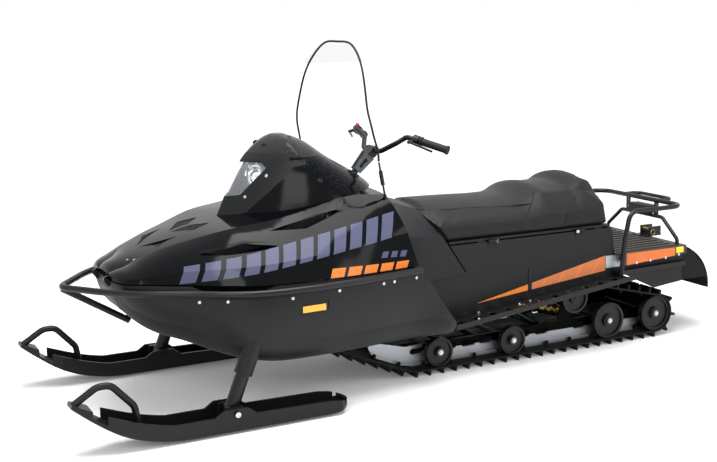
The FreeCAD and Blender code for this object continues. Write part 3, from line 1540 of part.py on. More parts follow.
def hull_bed(along, across, reach):
    """Highest place of the hull's floor on its inside, within a reach of a place."""
    found = []
    for step in (-1.0, -0.5, 0.0, 0.5, 1.0):
        for point in outline_at(NODES["hull"].Shape, along + step * reach):
            if abs(abs(point.x) - abs(across)) < 2 * reach and point.z < n("engine_low"):
                found.append(point.z)
    return max(found)


def make_bumper():
    up = n("bumper_up")
    radius = n("bumper_radius")
    off = radius + n("bumper_clear")
    right = []
    for along in BUMPER_ALONG:
        right.append((hull_reach(along, up) + off, along, up))
    bend = (262.0, -1290.0, up)
    points = [(-x, y, z) for x, y, z in reversed([bend] + right)]
    points += [(0.0, n("bumper_apex_along") - 6, up - 2), bend] + right
    radii = []
    for index in range(1, len(points) - 1):
        a, b, c = (V(*points[i]) for i in (index - 1, index, index + 1))
        turn = (a - b).getAngle(c - b)
        runs = min((a - b).Length, (c - b).Length)
        radii.append(min(60.0 if points[index][0] == 0 else 900.0, 0.45 * runs * math.tan(turn / 2)))
    hoop = tube("bumper_hoop", points, radii, size("bumper_radius"))
    end = n("brace_rear")
    brace_up = hull_floor(end) - radius - 6
    brace = tube("bumper_brace", [(0, n("bumper_apex_along") + 4, up - 8), (0, -1342, 428), (0, -1276, 387),
                                  (0, end, brace_up)], [60, 60], size("bumper_radius"))
    doc.recompute()
    pieces = [brace.Shape]
    foot_at = end - 12
    rise = min(hull_floor(foot_at + dy) for dy in (-8, 8)) - brace_up - n("run_gap") - 1
    pieces.append(Part.makeCylinder(8, rise, V(0, foot_at, brace_up + 1)))
    peg_radius = 6.0
    for along in (BUMPER_ALONG[0], BUMPER_ALONG[4], BUMPER_ALONG[-1] - 14):
        hull = NODES["hull"].Shape
        inner = max(reach_out(hull, along + dy, up, peg_radius) for dy in (-peg_radius, 0, peg_radius))
        for side in (-1, 1):
            foot = V(side * (inner + n("run_gap")), along, up)
            peg = Part.makeCylinder(peg_radius, n("bumper_clear") + radius, foot, V(side, 0, 0))
            pieces.append(peg)
    keep("bumper", solid("bumper_bow", hoop.Shape.fuse(pieces)))


BUMPER_ALONG = (-1060.0, -970.0, -880.0, -780.0, -640.0, -430.0, -140.0)


def make_engine():
    """Engine as one block on four feet in the hull."""
    half, front, rear = n("engine_half"), n("engine_front"), n("engine_rear")
    low, high = n("engine_low"), n("engine_high")
    foot = 18.0
    block = Part.makeBox(2 * half, rear - front, high - low, V(-half, front, low))
    feet = []
    for x in (-half + 30, half - 30):
        for along in (front + 40, rear - 40):
            start = hull_bed(along, x, foot) + n("run_gap")
            feet.append(Part.makeCylinder(foot, low + 1 - start, V(x, along, start)))
    keep("engine", solid("engine_block", block.fuse(feet)))


def post_axis():
    tilt = math.radians(n("post_tilt"))
    return V(0, math.sin(tilt), math.cos(tilt))


def make_column():
    """Tube that the steering post turns in, on two legs that stand on the tunnel."""
    clamp = V(0, n("clamp_along"), n("clamp_up"))
    way = post_axis()
    reach = (n("clamp_up") - n("post_low_up")) / way.z
    foot = clamp - way * reach
    column = Part.makeCylinder(n("post_radius") + 4, reach - n("post_bare"), foot, way)
    knee = foot + way * (reach * 0.42)
    pieces = []
    for side in (-1, 1):
        base = V(side * 150, -420, n("tunnel_top"))
        pieces.append(Part.makeCylinder(10, (knee - base).Length, base, knee - base))
        pieces.append(Part.makeBox(50, 50, 6, V(side * 150 - 25, -445, n("tunnel_top"))))
    hole = Part.makeCylinder(n("post_radius") + n("pin_fit"), reach, foot + way * 40, way)
    under = Part.makeBox(600, 200, 100, V(-300, -520, n("tunnel_top") - 100))
    keep("steering_column", solid("column", column.fuse(pieces).cut([hole, under])))
    return clamp, way, foot, reach


def make_bar_clamp(clamp, way, bar_at):
    """Two caps that hold the bar down on its riser, and two side plates that carry the riser."""
    frame = FreeCAD.Placement(clamp, FreeCAD.Rotation(V(0, 0, 1), way))
    below = Part.makeBox(120, 120, 60, V(-60, -60, n("riser_half") + n("run_gap") - 60))
    below.Placement = frame
    hole = Part.makeCylinder(n("bar_radius") + 0.02, 120, bar_at - V(60, 0, 0), V(1, 0, 0))
    pieces = []
    for side in (-1, 1):
        cap = Part.makeCylinder(n("bar_radius") + 8, 22, bar_at + V(side * 22 - 11, 0, 0), V(1, 0, 0))
        pieces.append(cap.cut([hole, below]))
        inner = n("post_radius") + 2 * n("run_gap")
        top = -n("riser_half") - n("run_gap")
        outline = [V(0, -26, top), V(0, 26, top), V(0, 17, top - 88), V(0, -17, top - 88)]
        plate = Part.Face(Part.makePolygon(outline + outline[:1])).extrude(V(6, 0, 0))
        window = Part.makeCylinder(9, 12, V(-3, 0, top - 30), V(1, 0, 0))
        window = window.fuse([Part.makeCylinder(9, 12, V(-3, 0, top - 62), V(1, 0, 0)),
                              Part.makeBox(12, 18, 32, V(-3, -9, top - 62))])
        plate = plate.cut(window)
        plate.translate(V(inner if side > 0 else -inner - 6, 0, 0))
        plate.Placement = frame.multiply(plate.Placement)
        pieces.append(plate)
    keep("bar_clamp", solid("clamp_set", Part.makeCompound(pieces)))


def make_handlebar():
    clamp, way, foot, reach = make_column()
    stem = Part.makeCylinder(n("post_radius"), reach - 44, foot + way * 44, way)
    riser = Part.makeBox(70, 34, 2 * n("riser_half"), V(-35, -17, -n("riser_half")))
    riser.Placement = FreeCAD.Placement(clamp, FreeCAD.Rotation(V(0, 0, 1), way))
    bar = tube("handlebar_tube", [
        (-n("bar_end_side"), n("bar_end_along"), n("bar_end_up")), (-241, -85, 1032), (-152, -85,
                                                                                       999), (-80, -126, 960),
        (80, -126, 960), (152, -85, 999), (241, -85, 1032), (n("bar_end_side"), n("bar_end_along"), n("bar_end_up"))],
        [40, 40, 40, 40, 40, 40], size("bar_radius"))
    doc.recompute()
    keep("handlebar", solid("bar", stem.fuse([riser, bar.Shape])))
    make_bar_clamp(clamp, way, V(0, -126, 960))
    grips = []
    for side in (-1, 1):
        end = V(side * n("bar_end_side"), n("bar_end_along"), n("bar_end_up"))
        inward = (V(side * 241, -85, 1032) - end).normalize()
        start = end - inward * 6
        sleeve = Part.makeCylinder(n("grip_radius"), n("grip_length"), start, inward)
        sleeve = sleeve.fuse(Part.makeCylinder(n("grip_radius") + 4, 7,
                                               start + inward * (n("grip_length") - 7), inward))
        sleeve = sleeve.fuse(Part.makeCylinder(n("grip_radius") + 3, 8, start, inward))
        hole = Part.makeCylinder(n("bar_radius") + 0.02, n("grip_length"), end, inward)
        grips.append(sleeve.cut(hole))
    keep("grips", solid("grip_pair", Part.makeCompound(grips)))
    controls = []
    for side in (-1, 1):
        end = V(side * n("bar_end_side"), n("bar_end_along"), n("bar_end_up"))
        inward = (V(side * 241, -85, 1032) - end).normalize()
        start = end + inward * (n("grip_length") + 1)
        hub = Part.makeCylinder(20, 26, start, inward)
        hub = hub.cut(Part.makeCylinder(n("bar_radius") + 0.02, 60, start - inward * 5, inward))
        outward = V(0, 0, 0) - inward
        lever_from = start + inward * 13 + V(side * 6, -38, -6)
        lever = Part.makeCylinder(5, 112, lever_from, outward + V(0, -0.12, -0.02))
        arm = Part.makeCylinder(7, 34, start + inward * 13 + V(0, -10, -1), V(side * 0.2, -0.95, -0.17))
        controls.append(hub.fuse([lever, arm]).cut(Part.makeCylinder(n("bar_radius") + 0.02, 60,
                                                                     start - inward * 5, inward)))
    keep("controls", solid("levers", Part.makeCompound(controls)))


make_bumper()
make_engine()
make_handlebar()


# Rear rack, hoop, lamp, hitch and reflectors

def make_rear():
    side = n("rack_side")
    foot = n("rack_foot_along")
    up = n("rack_up")
    rear = n("rack_rear_along")
    bed = n("tunnel_top") + n("sheet") + n("run_gap")
    foot_up = board_up(foot + 14) - n("lip_height") + 2 + n("sheet") + 1.0
    rack = tube("rack_tube", [(side, foot, foot_up), (side, foot + 20, up - 118), (side, foot + 46, up),
                              (side, rear, up),
                              (-side, rear, up), (-side, foot + 46, up), (-side, foot + 20, up - 118), (-side, foot, foot_up)],
                [160, 50, 70, 70, 50, 160], size("rack_radius"))
    low = up - n("rack_radius") - n("lamp_drop")
    hoop_at = rear + 2
    hoop = tube("hoop_tube", [(262, hoop_at, bed), (262, hoop_at, bed + 24), (152, hoop_at, low), (-152,
                                                                                                   hoop_at, low),
                              (-262, hoop_at, bed + 24), (-262, hoop_at, bed)], [25, 40, 40, 25], size("hoop_radius"))
    grab_start = rear + 4
    grab = tube("grab_tube", [(130, grab_start, up + 2), (130, rear + 81, up + 2), (-130, rear + 81,
                                                                                    up + 2), (-130, grab_start, up + 2)],
                [40, 40], size("hoop_radius"))
    doc.recompute()
    plates = []
    for x in (-118.0, 92.0):
        plate = Part.makeBox(28, 5, up - low, V(x, hoop_at - 2, low))
        slots = [Part.makeCylinder(4, 20, V(x + 14, hoop_at - 8, low + z), V(0, 1, 0)) for z in (22,
                                                                                                 up - low - 22)]
        plates.append(plate.cut(slots))
    keep("rear_rack", solid("rack_and_loop", rack.Shape.fuse([grab.Shape, hoop.Shape] + plates)))
    housing = Part.makeBox(150, 34, up - low - 40, V(-75, rear - 17, low + n("hoop_radius") + n("run_gap")))
    keep("lamp_housing", solid("housing", housing))
    lamp = Part.makeBox(124, 14, 30, V(-62, rear + 17 + n("run_gap"), low + 18))
    keep("tail_lamp", solid("lamp", lamp))
    deck = n("tunnel_top") + n("sheet") + n("run_gap")
    base = Part.makeBox(90, 46, 6, V(-45, n("tunnel_rear") - 47, deck))
    forks = [Part.makeBox(8, 70, 46, V(x, n("tunnel_rear") - 10, deck)) for x in (-36.0, 28.0)]
    tongue = Part.makeBox(72, 72, 8, V(-36, n("tunnel_rear") - 10, deck))
    bore = Part.makeCylinder(n("hitch_bore"), 40, V(0, n("tunnel_rear") + n("hitch_reach"), deck - 10))
    pin = Part.makeCylinder(6, 56, V(-28, n("tunnel_rear") + 2, deck + 34), V(1, 0, 0))
    keep("hitch", solid("hitch_fork", base.fuse(forks + [tongue, pin]).cut(bore)))


make_rear()
make_reflectors()
check_and_write()
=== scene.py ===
"""Looks of a utility snowmobile: a finish for every panel of the frame, a stuffed seat, screws, wheel hubs,
the inside of the headlamp, vent wire and small side fittings, and a plain studio round it."""

import json
import logging
import math
from collections.abc import Callable, Iterable, Iterator
from dataclasses import dataclass, field
from enum import Enum

import bpy
from mathutils import Matrix, Vector

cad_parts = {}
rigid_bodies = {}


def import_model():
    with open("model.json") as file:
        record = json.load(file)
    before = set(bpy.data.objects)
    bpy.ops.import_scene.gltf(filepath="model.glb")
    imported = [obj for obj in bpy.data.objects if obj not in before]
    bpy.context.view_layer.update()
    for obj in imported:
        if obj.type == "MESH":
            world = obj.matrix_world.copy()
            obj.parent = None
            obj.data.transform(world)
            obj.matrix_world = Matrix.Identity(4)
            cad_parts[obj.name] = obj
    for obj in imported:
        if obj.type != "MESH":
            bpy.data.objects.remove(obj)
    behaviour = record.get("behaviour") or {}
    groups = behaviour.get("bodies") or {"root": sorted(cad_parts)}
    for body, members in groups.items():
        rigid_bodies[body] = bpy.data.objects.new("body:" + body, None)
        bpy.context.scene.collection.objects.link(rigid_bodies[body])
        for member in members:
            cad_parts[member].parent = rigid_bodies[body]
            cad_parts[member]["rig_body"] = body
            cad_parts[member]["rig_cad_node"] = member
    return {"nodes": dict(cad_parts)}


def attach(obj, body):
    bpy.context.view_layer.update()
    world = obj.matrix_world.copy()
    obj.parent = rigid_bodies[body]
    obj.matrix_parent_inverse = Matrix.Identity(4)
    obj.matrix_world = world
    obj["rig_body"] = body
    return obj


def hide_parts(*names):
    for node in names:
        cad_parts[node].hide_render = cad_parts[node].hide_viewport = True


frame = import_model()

log = logging.getLogger("snowmobile")
Place = tuple[float, float, float]
MM = 0.001
SIDES = ((1, "left"), (-1, "right"))
# Least share of a face's normal that points along an axis where the face counts as square on to it
SQUARE_ON = 0.9
# Edges under this angle are shaded smooth on a piece that is round all over
ROUND_DEG = 60.0

# Sockets of a Mix node for colours, which has several of the same name
FACTOR, UNDER, OVER, MIXED = 0, 6, 7, 2
# Noise octaves in the clouds of tone, strength of every bump, and how far brushed lines are drawn out
CLOUD_DETAIL = 4.0
BUMP_STRENGTH = 0.6
LINE_STRETCH = 0.03


def on_side(place: Place, side: int) -> Vector:
    """The place itself for side 1, on the left, or its mirror image for side -1."""
    return Vector((side * place[0], place[1], place[2]))


def linear(code: str) -> tuple[float, float, float, float]:
    """Turns a colour written as on screen into the shader's linear values.

    Args:
        code: sRGB hex such as "#E8833A".

    Returns:
        Linear red, green and blue, and an alpha of one.
    """
    parts = [int(code[i:i + 2], 16) / 255 for i in (1, 3, 5)]
    red, green, blue = [v / 12.92 if v <= 0.04045 else ((v + 0.055) / 1.055) ** 2.4 for v in parts]
    return red, green, blue, 1.0


def add_node(tree: bpy.types.NodeTree, kind: str, settings: dict | None = None,
             links: dict | None = None) -> bpy.types.Node:
    """Adds one shader node.

    Args:
        tree: the material's or world's node tree.
        kind: the node's type name.
        settings: properties by name, and unlinked inputs by name or index.
        links: sockets to join to inputs, by name or index.

    Returns:
        The new node.
    """
    node = tree.nodes.new(kind)
    for key, value in (settings or {}).items():
        if isinstance(key, str) and hasattr(node, key):
            setattr(node, key, value)
        else:
            node.inputs[key].default_value = value
    for key, socket in (links or {}).items():
        tree.links.new(socket, node.inputs[key])
    return node


def work_out(tree: bpy.types.NodeTree, known: dict, rows: Iterable[tuple]) -> dict:
    """Adds one math node for each row of a small sum.

    Args:
        tree: the material's node tree.
        known: sockets by name that the rows may use.
        rows: name, operation and up to three terms, each a number or a known name.

    Returns:
        The known sockets with each row's result added.
    """
    for name, operation, *terms in rows:
        node = add_node(tree, "ShaderNodeMath", {"operation": operation})
        for index, term in enumerate(terms):
            if isinstance(term, str):
                tree.links.new(known[term], node.inputs[index])
            else:
                node.inputs[index].default_value = term
        known[name] = node.outputs[0]
    return known


def between(name: str, term: str, low: float | str, high: float | str) -> list[tuple]:
    """Rows that give one where a term lies between two others, and nought elsewhere.

    Args:
        name: what the result is called.
        term: the known name to test.
        low: its lower bound, a number or a known name.
        high: its upper bound, likewise.

    Returns:
        The rows for work_out.
    """
    return [
        ("more", "GREATER_THAN", term, low),
        ("less", "LESS_THAN", term, high),
        (name, "MULTIPLY", "more", "less"),
    ]


def product(name: str, first: str, *others: str) -> list[tuple]:
    """Rows that multiply several known terms.

    Args:
        name: what the result is called.
        first: a known name.
        others: the known names that it is multiplied by.

    Returns:
        The rows for work_out.
    """
    return [(name, "MULTIPLY", name if index else first, other) for index, other in enumerate(others)]


class Relief(Enum):
    """The fine relief that a surface shows."""

    PEEL = "soft waves of a sprayed or blown gloss"
    GRAIN = "pebbled grain of a mould or of leathercloth"
    BRUSHED = "lines drawn along the machine"
    CAST = "rough skin of a casting or of moulded rubber"


# Noise octaves that draw each relief; grain is drawn with cells instead
RELIEF_DETAIL = {Relief.PEEL: 1.0, Relief.BRUSHED: 3.0, Relief.CAST: 5.0}


@dataclass(frozen=True)
class Finish:
    """A plain finish: two close tones, a spread of roughness and one kind of fine relief.

    Its cover is the share of light that it stops; a thin clear sheet lets the rest pass straight through.
    """

    name: str
    colour: str
    tone: str
    roughness: tuple[float, float]
    relief: Relief
    relief_mm: float
    depth_mm: float
    metallic: float = 0.0
    ior: float = 1.5
    coat: float = 0.0
    sheen: float = 0.0
    cover: float = 1.0
    cloud_mm: float = 90.0

    def paint(self, tree: bpy.types.NodeTree, place: bpy.types.NodeSocket,
              base: bpy.types.NodeSocket) -> bpy.types.NodeSocket:
        """Adds painted fields to the base colour; a plain finish has none."""
        return base

    def relief_height(self, tree: bpy.types.NodeTree, place: bpy.types.NodeSocket) -> bpy.types.NodeSocket:
        """Draws the height pattern of the fine relief at its real size.

        Args:
            tree: the material's node tree.
            place: the Object coordinate.

        Returns:
            A socket with the height.
        """
        scale = 1.0 / (self.relief_mm * MM)
        if self.relief is Relief.GRAIN:
            cells = add_node(tree, "ShaderNodeTexVoronoi", {"Scale": scale, "feature": "SMOOTH_F1"},
                             {"Vector": place})
            return cells.outputs["Distance"]
        if self.relief is Relief.BRUSHED:
            drawn = add_node(tree, "ShaderNodeMapping", {"Scale": (scale, scale * LINE_STRETCH, scale)},
                             {"Vector": place})
            place, scale = drawn.outputs[0], 1.0
        noise = add_node(tree, "ShaderNodeTexNoise", {"Scale": scale, "Detail": RELIEF_DETAIL[self.relief]},
                         {"Vector": place})
        return noise.outputs["Fac"]

    def make(self) -> bpy.types.Material:
        """Builds the material.

        Returns:
            The material, named for what the real surface is.
        """
        material = bpy.data.materials.new(self.name)
        material.use_nodes = True
        tree = material.node_tree
        shader = tree.nodes["Principled BSDF"]
        place = add_node(tree, "ShaderNodeTexCoord").outputs["Object"]
        clouds = add_node(tree, "ShaderNodeTexNoise",
                          {"Scale": 1.0 / (self.cloud_mm * MM), "Detail": CLOUD_DETAIL},
                          {"Vector": place}).outputs["Fac"]
        base = add_node(tree, "ShaderNodeMix",
                        {"data_type": "RGBA", UNDER: linear(self.colour), OVER: linear(self.tone)},
                        {FACTOR: clouds}).outputs[MIXED]
        tree.links.new(self.paint(tree, place, base), shader.inputs["Base Color"])
        low, high = self.roughness
        spread = add_node(tree, "ShaderNodeMapRange", {"To Min": low, "To Max": high}, {"Value": clouds})
        tree.links.new(spread.outputs[0], shader.inputs["Roughness"])
        bump = add_node(tree, "ShaderNodeBump", {"Strength": BUMP_STRENGTH, "Distance": self.depth_mm * MM},
                        {"Height": self.relief_height(tree, place)})
        tree.links.new(bump.outputs[0], shader.inputs["Normal"])
        for socket, value in (("Metallic", self.metallic), ("IOR", self.ior), ("Coat Weight", self.coat),
                              ("Sheen Weight", self.sheen), ("Alpha", self.cover)):
            shader.inputs[socket].default_value = value
        return material


@dataclass(frozen=True)
class Painted(Finish):
    """Finish with sharp-edged fields of paint on it, each worked out from the place on the machine."""

    def fields(self) -> Iterator[tuple[str, list[tuple]]]:
        """Lists the fields from the lowest to the topmost.

        Returns:
            Each field's colour and the rows whose result, mask, is one inside it. They may use x, y, z and
            across, which is the distance from the machine's middle.
        """
        raise NotImplementedError

    def paint(self, tree: bpy.types.NodeTree, place: bpy.types.NodeSocket,
              base: bpy.types.NodeSocket) -> bpy.types.NodeSocket:
        """Lays the fields over the base colour.

        Args:
            tree: the material's node tree.
            place: the Object coordinate.
            base: the finish's own colour.

        Returns:
            The colour with the fields on it.
        """
        split = add_node(tree, "ShaderNodeSeparateXYZ", links={0: place})
        known = {"x": split.outputs[0], "y": split.outputs[1], "z": split.outputs[2]}
        known = work_out(tree, known, [("across", "ABSOLUTE", "x")])
        colour = base
        for paint, rows in self.fields():
            known = work_out(tree, known, rows)
            colour = add_node(tree, "ShaderNodeMix", {"data_type": "RGBA", OVER: linear(paint)},
                              {FACTOR: known["mask"], UNDER: colour}).outputs[MIXED]
        return colour


@dataclass(frozen=True)
class BarRow:
    """One row of slanted bars: its foot and height at y = 0, their slopes along y, and how it is divided."""

    colour: str
    foot: float
    rise: float
    tall: float
    grow: float
    start: float
    end: float
    pitch: float
    share: float


@dataclass(frozen=True)
class HoodGloss(Painted):
    """Gloss shell with a field of slanted bars on its flanks and two small rows of bars under it."""

    flank: float = 0.2
    slant: float = -0.45
    rows: tuple[BarRow, ...] = (
        BarRow("#505269", foot=0.6961, rise=0.132, tall=0.0970, grow=0.036, start=-1.105, end=-0.262,
               pitch=0.0715, share=0.74),
        BarRow("#505269", foot=0.5660, rise=-0.069, tall=0.0240, grow=0.0, start=-0.322, end=-0.192,
               pitch=0.0440, share=0.64),
        BarRow("#DC7A36", foot=0.5220, rise=-0.035, tall=0.0340, grow=0.0, start=-0.560, end=-0.192,
               pitch=0.0740, share=0.80),
    )

    def fields(self) -> Iterator[tuple[str, list[tuple]]]:
        """Lists the rows of bars, each between its foot and its top.

        Returns:
            Each row's colour and its sum.
        """
        for row in self.rows:
            yield row.colour, [
                ("foot", "MULTIPLY_ADD", "y", row.rise, row.foot),
                ("tall", "MULTIPLY_ADD", "y", row.grow, row.tall),
                ("up", "SUBTRACT", "z", "foot"),
                ("part", "DIVIDE", "up", "tall"),
                *between("in_height", "part", 0.0, 1.0),
                ("lean", "MULTIPLY_ADD", "up", self.slant, "y"),
                *between("in_length", "lean", row.start, row.end),
                ("along", "SUBTRACT", "lean", row.start),
                ("turn", "DIVIDE", "along", row.pitch),
                ("phase", "FRACT", "turn"),
                ("bar", "LESS_THAN", "phase", row.share),
                ("on_flank", "GREATER_THAN", "across", self.flank),
                *product("mask", "in_height", "in_length", "bar", "on_flank"),
            ]


@dataclass(frozen=True)
class StripedSide(Painted):
    """Painted side sheet with one long wedge that is hatched towards its rear."""

    bright: str = "#E8833A"
    deep: str = "#CF7B50"
    side: float = 0.262
    top_foot: float = 0.2465
    top_rise: float = 0.1995
    low_foot: float = 0.2700
    low_rise: float = 0.0985
    start: float = 0.240
    end: float = 0.925
    gap: tuple[float, float] = (0.501, 0.522)
    hatch: float = 0.085
    hatch_slant: float = -0.7
    hatch_share: float = 0.12

    def fields(self) -> Iterator[tuple[str, list[tuple]]]:
        """Lists the wedge on the outer faces, and over it the bright front part and hatching.

        Returns:
            Each tone and its sum.
        """
        yield self.deep, [
            ("outer", "GREATER_THAN", "across", self.side),
            ("top", "MULTIPLY_ADD", "y", self.top_rise, self.top_foot),
            ("low", "MULTIPLY_ADD", "y", self.low_rise, self.low_foot),
            *between("in_height", "z", "low", "top"),
            *between("in_length", "y", self.start, self.end),
            *between("in_gap", "y", *self.gap),
            ("out_gap", "SUBTRACT", 1.0, "in_gap"),
            *product("mask", "outer", "in_height", "in_length", "out_gap"),
        ]
        yield self.bright, [
            ("lean", "MULTIPLY_ADD", "z", self.hatch_slant, "y"),
            ("turn", "DIVIDE", "lean", self.hatch),
            ("phase", "FRACT", "turn"),
            ("line", "LESS_THAN", "phase", self.hatch_share),
            ("front", "LESS_THAN", "y", self.gap[1]),
            ("tone", "MAXIMUM", "line", "front"),
            ("mask", "MULTIPLY", "mask", "tone"),
        ]


@dataclass(frozen=True)
class FieldPaint(Painted):
    """Finish with one box-shaped field in another colour, mirrored on both sides."""

    other: str = "#CF7B50"
    low: Place = (0.0, 0.0, 0.0)
    high: Place = (1.0, 1.0, 1.0)

    def fields(self) -> Iterator[tuple[str, list[tuple]]]:
        """Lists the one field, between its two corners.

        Returns:
            Its colour and its sum.
        """
        rows = []
        for axis, low, high in zip(("across", "y", "z"), self.low, self.high):
            rows += between("in_" + axis, axis, low, high)
        yield self.other, rows + product("mask", "in_across", "in_y", "in_z")


# Blown gloss ABS: near black, with a wet highlight and long soft waves in it
HOOD_ABS = HoodGloss("gloss_abs_shell", "#040507", "#07080B", (0.06, 0.12), Relief.PEEL, 14.0, 0.04, ior=1.2)
# Gloss ABS without graphics for the lamp pod, its brow in charcoal
POD_ABS = FieldPaint("gloss_abs_pod", "#040507", "#08090C", (0.08, 0.16), Relief.PEEL, 14.0, 0.04, ior=1.2,
                     other="#2A2927", low=(-0.01, -0.76, 0.975), high=(0.35, -0.42, 1.2))
# Textured polyethylene of the belly pan and fairings: charcoal, with a broad dull highlight
PAN_PE = Finish("textured_polyethylene", "#101113", "#151618", (0.42, 0.55), Relief.GRAIN, 2.2, 0.10,
                ior=1.32)
# Moulded nylon and ABS of small covers: darker and a little shinier than the pan
COVER_ABS = Finish("satin_abs_cover", "#0C0D0E", "#121314", (0.34, 0.46), Relief.GRAIN, 1.8, 0.06, ior=1.32)
# Powder-coated steel tube and plate: black with fine orange peel
POWDER = Finish("powder_coated_steel", "#08080A", "#0E0E10", (0.28, 0.42), Relief.PEEL, 2.4, 0.07, ior=1.36)
# Painted tunnel side sheet with a wedge of film on it
TUNNEL_PAINT = StripedSide("painted_tunnel_sheet", "#0E0F11", "#131416", (0.36, 0.48), Relief.PEEL, 3.0, 0.05,
                           ior=1.32)
# Bed floor: brown-grey ribbed sheet, its side plates with an orange film
DECK_PAINT = FieldPaint("painted_bed_sheet", "#35322F", "#403C38", (0.45, 0.6), Relief.CAST, 3.0, 0.08,
                        ior=1.35, other="#D2703C", low=(0.2905, 1.026, 0.376), high=(0.3, 1.312, 0.4335))
# Leathercloth over foam: black, pebbled, with a soft sheen at the shoulders
LEATHERCLOTH = Finish("black_leathercloth", "#0F0F11", "#141416", (0.46, 0.6), Relief.GRAIN, 2.0, 0.16,
                      ior=1.3, sheen=0.05)
# Welt cord in the seams: the same cloth, coloured darker and with a smoother grain
WELT = Finish("seam_welt", "#060607", "#0B0B0C", (0.5, 0.6), Relief.GRAIN, 1.2, 0.05, ior=1.3)
# Track rubber: dull black with a dusty bloom
TRACK_RUBBER = Finish("track_rubber", "#0A0A0A", "#141313", (0.65, 0.85), Relief.CAST, 5.0, 0.25, ior=1.3)
# Polyurethane tyres and moulded wheels: black, slightly shiny
WHEEL_PU = Finish("moulded_wheel_polyurethane", "#0A0A0B", "#111112", (0.32, 0.46), Relief.CAST, 6.0, 0.08,
                  ior=1.34)
# Moulded rubber of the grips, knobs and edging: soft black with a fine tread
GRIP_RUBBER = Finish("grip_rubber", "#0A0A0B", "#111112", (0.55, 0.7), Relief.GRAIN, 3.0, 0.3, ior=1.34)
# Extruded aluminium of the slide rails: pale, with draw lines along it, its upper web dark
RAIL_ALLOY = FieldPaint("extruded_aluminium", "#8F9296", "#A7AAAE", (0.36, 0.5), Relief.BRUSHED, 1.6, 0.03,
                        metallic=1.0, other="#0C0C0D", low=(0.0, 0.02, 0.086), high=(1.0, 1.4, 0.6))
# Cast or machined aluminium of the bar clamp: grey and dull
CLAMP_ALLOY = Finish("machined_aluminium", "#4E5154", "#626568", (0.5, 0.65), Relief.BRUSHED, 1.2, 0.02,
                     metallic=0.6)
# Stainless screw heads: bright and smooth
STAINLESS = Finish("stainless_steel", "#C9CBCE", "#B4B6BA", (0.18, 0.3), Relief.BRUSHED, 1.0, 0.01,
                   metallic=1.0)
# Yellow zinc plating on washers, pins and damper rods: thin gold with small clouds in it
ZINC = Finish("yellow_zinc_plate", "#B49848", "#A68F62", (0.25, 0.4), Relief.CAST, 4.0, 0.03, metallic=1.0,
              cloud_mm=18.0)
# Sand-cast engine block: rough and dull
CAST_ALLOY = Finish("sand_cast_block", "#3B3C3E", "#4A4B4D", (0.55, 0.75), Relief.CAST, 3.0, 0.2,
                    metallic=0.6)
# Clear polycarbonate shield: thin, with a cool veil where it crosses dark parts
SHIELD_PC = Finish("clear_polycarbonate", "#343E4A", "#2D3743", (0.16, 0.24), Relief.PEEL, 60.0, 0.01,
                   ior=1.08, cover=0.035)
# Polycarbonate lamp lens: clear and glossy, very slightly cool
LENS_PC = Finish("clear_lamp_lens", "#F4F7FA", "#E6ECF2", (0.02, 0.05), Relief.PEEL, 20.0, 0.05, ior=1.4,
                 cover=0.10)
# Vacuum-metallised reflector: a bright mirror with a coarse pebble
MIRROR = Finish("metallised_reflector", "#F0F2F5", "#DCDFE4", (0.06, 0.14), Relief.GRAIN, 9.0, 0.4,
                metallic=1.0)
# Amber, yellow and red reflector plastics, moulded with small prisms under a clear gloss
PRISMS = {"roughness": (0.12, 0.25), "relief": Relief.GRAIN, "relief_mm": 4.0, "depth_mm": 0.5, "ior": 1.49,
          "coat": 0.5}
AMBER = Finish("amber_reflector", "#F0A81E", "#F3B436", **PRISMS)
YELLOW = Finish("yellow_reflector", "#FFD400", "#FFC800", **PRISMS)
RED = Finish("red_reflector", "#A80F12", "#8E0A0E", **PRISMS)
# Black powder-coated hitch plate with its plated pin
HITCH_STEEL = FieldPaint("hitch_plate_and_pin", "#08080A", "#0E0E10", (0.28, 0.42), Relief.PEEL, 2.4, 0.07,
                         ior=1.4, other="#B0893F", low=(-0.001, 1.3755, 0.4668),
                         high=(0.0275, 1.3885, 0.4798))
# Steel wire behind the vents, painted black
VENT_WIRE = Finish("vent_wire", "#0A0A0B", "#121213", (0.4, 0.55), Relief.PEEL, 2.0, 0.02, ior=1.36)
# Blank plate of brushed aluminium: pale and satin
PLATE = Finish("bare_info_plate", "#B9BFC3", "#A9B0B5", (0.3, 0.4), Relief.BRUSHED, 2.0, 0.02, metallic=0.4)
# Blue rubber seal of a wheel bearing and moulded red cap of a switch: both satin
BLUE_RING = Finish("blue_bearing_seal", "#1B2A6B", "#22337E", (0.3, 0.4), Relief.PEEL, 3.0, 0.02)
RED_CAP = Finish("red_switch_cap", "#C3161B", "#A81116", (0.25, 0.35), Relief.PEEL, 3.0, 0.02)


